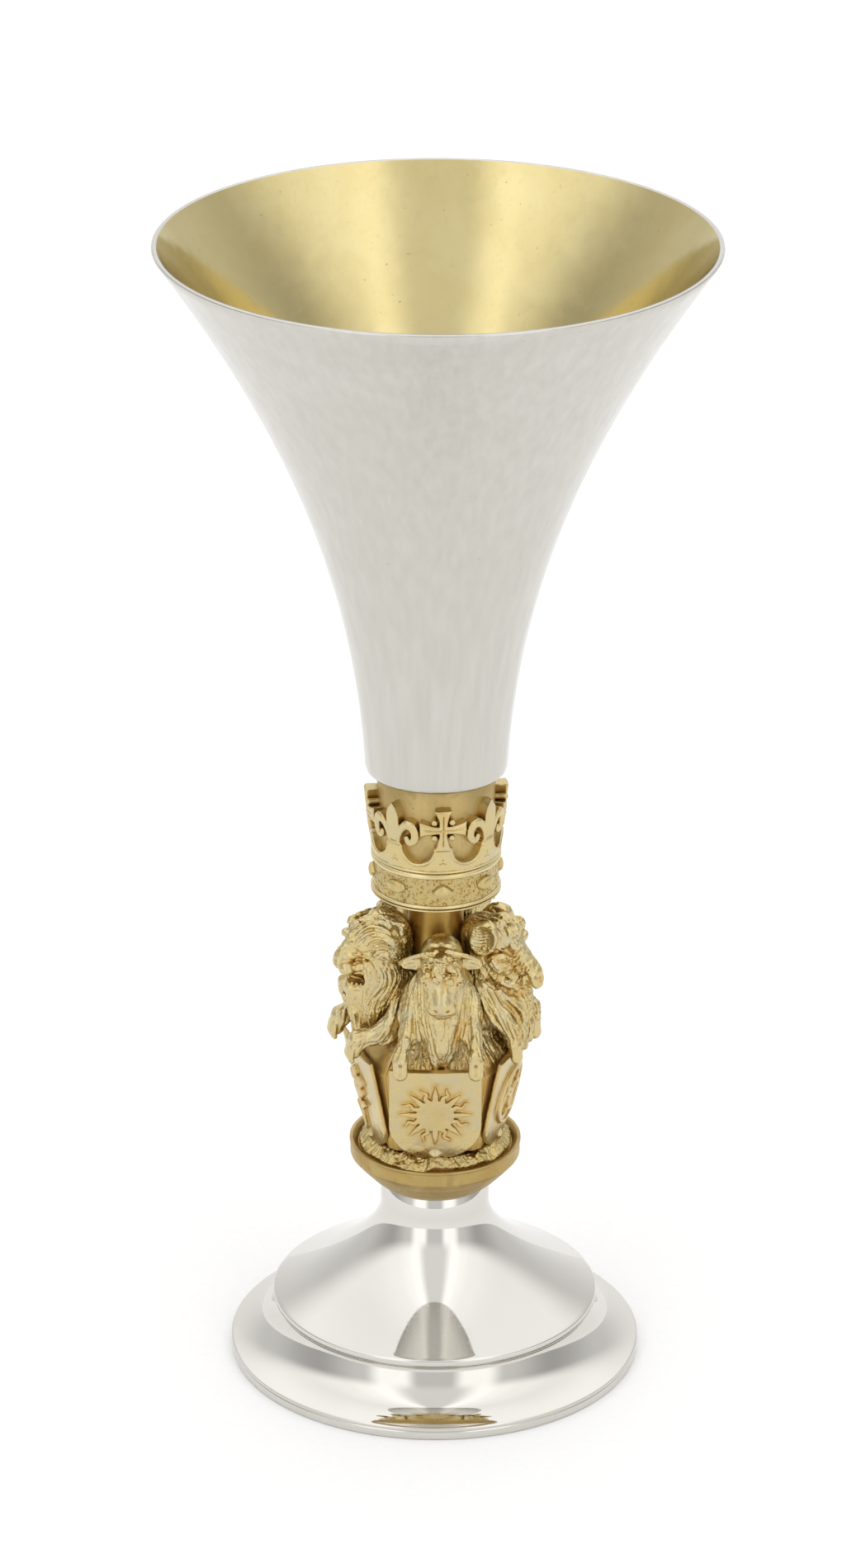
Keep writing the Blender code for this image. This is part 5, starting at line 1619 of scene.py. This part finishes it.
SHIELD_STEP = 0.1
SHIELD_HALF = 7.05
SHIELD_TALL = 16.2
SHIELD_CENTRE = 8.4
SHIELD_THICK = 1.2
SHIELD_BOTTOM_R = 10.2
SHIELD_TOP_R = 13.4
SHIELD_FOOT_Z = 37.2


def sun_emblem(u, v):
    """A plain disc with sixteen rays, straight and wavy by turns."""
    v = v - SHIELD_CENTRE
    shapes = [disc(u, v, (0, 0), 2.95)]
    for i in range(16):
        angle = math.radians(22.5 * i + 90)
        c, s = math.cos(angle), math.sin(angle)
        along, across = u * c + v * s, -u * s + v * c
        if i % 2:
            path = [(2.9 + 0.27 * k, 0.32 * math.sin(k * 0.95) * min(1, k / 3)) for k in range(10)]
            shapes.append(stroke(along, across, path, np.linspace(0.46, 0.14, 10)))
        else:
            shapes.append(stroke(along, across, [(2.9, 0), (3.9, 0), (5.4, 0)], [0.52, 0.46, 0.1]))
    return join(*shapes), 0.5


def knot_emblem(u, v):
    """Three interlaced loops about a small boss."""
    v = v - SHIELD_CENTRE
    shapes = [disc(u, v, (0, 0), 0.7)]
    for i in range(3):
        shapes.append(np.abs(disc(u, v, polar(2.15, 120 * i + 90), 2.3)) - 0.42)
    shapes.append(np.abs(disc(u, v, (0, 0), 4.7)) - 0.34)
    return join(*shapes), 0.6


def rose_emblem(u, v):
    """A five-petalled rose on a leafy staff."""
    shapes = [disc(u, v, (0, 10.4), 0.8)]
    for i in range(5):
        shapes.append(disc(u, v, polar(1.75, 72 * i + 90, (0, 10.4)), 1.02))
    shapes.append(stroke(u, v, [(0, 8.4), (0.25, 5.5), (0, 2.2)], [0.42, 0.36, 0.3]))
    for side, z in ((-1, 4.2), (1, 5.6)):
        shapes.append(stroke(u, v, [(0, z), (side * 1.5, z + 1.3), (side * 2.7, z + 1.5)],
                             [0.3, 0.62, 0.1]))
    return join(*shapes), 0.62


def quatrefoil_emblem(u, v):
    """Four lobes round a boss, in a ring."""
    v = v - SHIELD_CENTRE
    shapes = [disc(u, v, (0, 0), 1.0), np.abs(disc(u, v, (0, 0), 5.0)) - 0.3]
    for i in range(4):
        shapes.append(np.abs(disc(u, v, polar(2.3, 90 * i), 1.6)) - 0.36)
    return join(*shapes), 0.5


def chevron_emblem(u, v):
    """Two chevrons with a star over them."""
    shapes = [stroke(u, v, [(-4.4, low), (0, low + 3.0), (4.4, low)], 0.55) for low in (3.4, 6.0)]
    for i in range(5):
        shapes.append(stroke(u, v, [(0, 11.6), polar(1.75, 72 * i + 90, (0, 11.6))], [0.6, 0.08]))
    return join(*shapes), 0.5


EMBLEMS = {"bull": sun_emblem, "boar": knot_emblem, "falcon": quatrefoil_emblem, "hart": chevron_emblem,
           "lion": rose_emblem}


def shield_outline(u, v):
    """A shield with straight sides and a full, round bottom."""
    half, curve_tall = SHIELD_HALF, 6.0
    bottom = [(half * math.copysign(abs(math.cos(a)) ** 0.8, math.cos(a)),
               curve_tall * (1 - abs(math.sin(a)) ** 0.9))
              for a in np.linspace(0, math.pi, 25)]
    outline = [(half, SHIELD_TALL)] + bottom + [(-half, SHIELD_TALL)]
    return polygon(u, v, outline)


def make_shields(material):
    """Each beast's shield, leaning outwards, on its post in the ground."""
    for index, name in enumerate(BEASTS):
        clay = Clay((-7.4, -0.6, -2.6), (7.4, 2.4, SHIELD_TALL + 0.5), SHIELD_STEP)
        u, w, v = clay.everywhere()[1:]
        flat_u, flat_v = u[:, 0, :], v[0, :, :]
        outline = shield_outline(flat_u, flat_v)[:, None, :]
        emblem, rise = EMBLEMS[name](flat_u, flat_v)
        emblem = emblem[:, None, :]
        # The face bows a little across its width, and its margin is slightly rolled
        face = SHIELD_THICK - 0.012 * u * u + 0 * v
        slab = np.maximum(w - face, 0 - w)
        field = -smooth_min(-outline, -slab, 0.22)
        raised = -smooth_min(-emblem, face + rise - w, 0.3)
        raised = np.maximum(raised, face - 0.4 - w)
        field = smooth_min(field, raised, 0.12)
        lump = noise(u * 0.8 + 9 * index, w * 0.8, v * 0.8, 111) + 0.4 * noise(u * 3 + 7, w * 3,
                                                                               v * 3 + index, 112)
        clay.field[:] = (field + 0.08 * (lump - 0.7)).astype(np.float32)
        # The waisted post, with a hollow to each side of it
        clay.limb([(0, 0.75, 0.6), (0, 0.75, -0.7), (0, 0.75, -2.2)], [0.95, 0.45, 1.0], soft=0.35)
        for side in SIDES:
            clay.ball((side * 1.35, 1.3, -0.15), (0.8, 0.9, 0.42), (0, side * 25, 0), soft=0.1, carve=True)
        piece = clay.piece("shield_" + name + "_cast", stand_shield(index * TAU / len(BEASTS)))
        finish_piece(piece, "gilt_cast", material, "shield_" + name)


def stand_shield(angle):
    """A function that puts a shield drawn in (across, outwards, up) at its place round the stem."""
    lean = math.asin((SHIELD_TOP_R - SHIELD_BOTTOM_R) / SHIELD_TALL)
    turn = turn_by(angle)

    def bend(points):
        u, w, v = points.T
        out = SHIELD_BOTTOM_R - SHIELD_THICK + w * math.cos(lean) + v * math.sin(lean)
        up = SHIELD_FOOT_Z - w * math.sin(lean) + v * math.cos(lean)
        return turn(np.stack([u, -out, up], axis=1))
    return bend


# ---------------------------------------------------------------- ground

def make_ground(material):
    """The rocky ring in the dish that the posts stand on, with a ragged lower edge."""
    reach, top = 12.0, node_high("shield_ground").z / MM
    clay = Clay((-reach, -reach, 32.6), (reach, reach, top + 1.4), 0.14)
    x, y, z = clay.everywhere()[1:]
    radius = np.sqrt(x * x + y * y)
    turn = np.arctan2(y, x)
    wave = noise(np.cos(turn) * 5 + 10, np.sin(turn) * 5 + 10, 0 * radius, 121)
    crag = noise(x * 0.9 + 30, y * 0.9 + 30, z * 0.9, 122) + 0.5 * noise(x * 2.1, y * 2.1, z * 1.4, 123)
    slope = radius - (9.0 + 1.5 * wave) - (top - 0.2 - z) * 1.25
    field = np.maximum(slope, z - (top - 0.6 + 0.4 * crag))
    field = np.maximum(field, 7.4 - radius) + 0.28 * (0.75 - crag)
    field = np.maximum(field, radius - 11.65)
    clay.field[:] = np.maximum(field, 32.8 - z).astype(np.float32)
    guides = []
    for i in range(24):
        angle = TAU * i / 24
        across, along = math.cos(angle), math.sin(angle)
        guides.append([(9 * across, 9 * along, top + 1),
                       (10.4 * across - along * 0.7, 10.4 * along + across * 0.7, top - 2),
                       (11.6 * across, 11.6 * along, top - 5)])
    clay.brush(guides, (-reach, -reach, 33), (reach, reach, top + 1), 127, 0.4, 0.13, 1.8)
    finish_piece(clay.piece("shield_ground_rocky"), "gilt_cast", material, "shield_ground")


# ---------------------------------------------------------------- the whole

def make_chalice():
    """Every material, then every piece from the bowl down."""
    silver_bowl = silver("silver_satin", (0.625, 0.605, 0.56), (0.60, 0.58, 0.53), 0.16, 0.10, 0.8)
    silver_foot = silver("silver_mirror", (0.70, 0.68, 0.64), (0.66, 0.64, 0.59), 0.03, 0.05, 0.0)
    lining = gilt_plain("gilt_lining", (0.66, 0.56, 0.285), (0.63, 0.525, 0.25), 0.12, 1500, 0.02, 0.1)
    plain = gilt_plain("gilt_satin", (0.55, 0.42, 0.19), (0.48, 0.34, 0.13), 0.44)
    dish = gilt_plain("gilt_dish", (0.50, 0.37, 0.15), (0.42, 0.28, 0.09), 0.36)
    brown = gilt_plain("gilt_column", (0.57, 0.37, 0.11), (0.50, 0.30, 0.07), 0.40)
    bright = gilt_plain("gilt_bright", (0.72, 0.62, 0.36), (0.66, 0.54, 0.27), 0.26, 2400, 0.06, 0.4)
    jewel = gilt_plain("gilt_jewel", (0.60, 0.48, 0.22), (0.54, 0.41, 0.16), 0.34, 2400, 0.06, 0.4)
    cast = gilt_cast("gilt_cast", (0.635, 0.51, 0.245), (0.60, 0.51, 0.30), (0.62, 0.45, 0.18),
                     (0.55, 0.365, 0.115))
    band = gilt_cast("gilt_band", (0.53, 0.41, 0.17), (0.51, 0.41, 0.20), (0.46, 0.32, 0.11),
                     (0.32, 0.18, 0.04))
    dark = gilt_cast("gilt_ground", (0.54, 0.41, 0.17), (0.50, 0.40, 0.19), (0.54, 0.37, 0.13),
                     (0.46, 0.28, 0.07))
    rusty = steel("steel_turned")
    make_bowl(silver_bowl, lining)
    make_drum(plain, bright)
    make_column(brown)
    make_dish(dish)
    make_foot(silver_foot)
    make_beasts(cast)
    make_cresting(cast)
    make_circlet_band(band)
    make_jewels(jewel)
    make_shields(cast)
    make_ground(dark)
    for name in frame["nodes"]:
        if name.startswith(("tie_", "bowl_socket")):
            paint_node(name, rusty)


def paint_node(name, material):
    """Gives a CAD node that stays visible its material."""
    node = bpy.data.objects[name]
    node.data.materials.clear()
    node.data.materials.append(material)


make_camera()
make_room()
make_floor(paper("floor_paper"))
make_chalice()
bpy.context.view_layer.update()
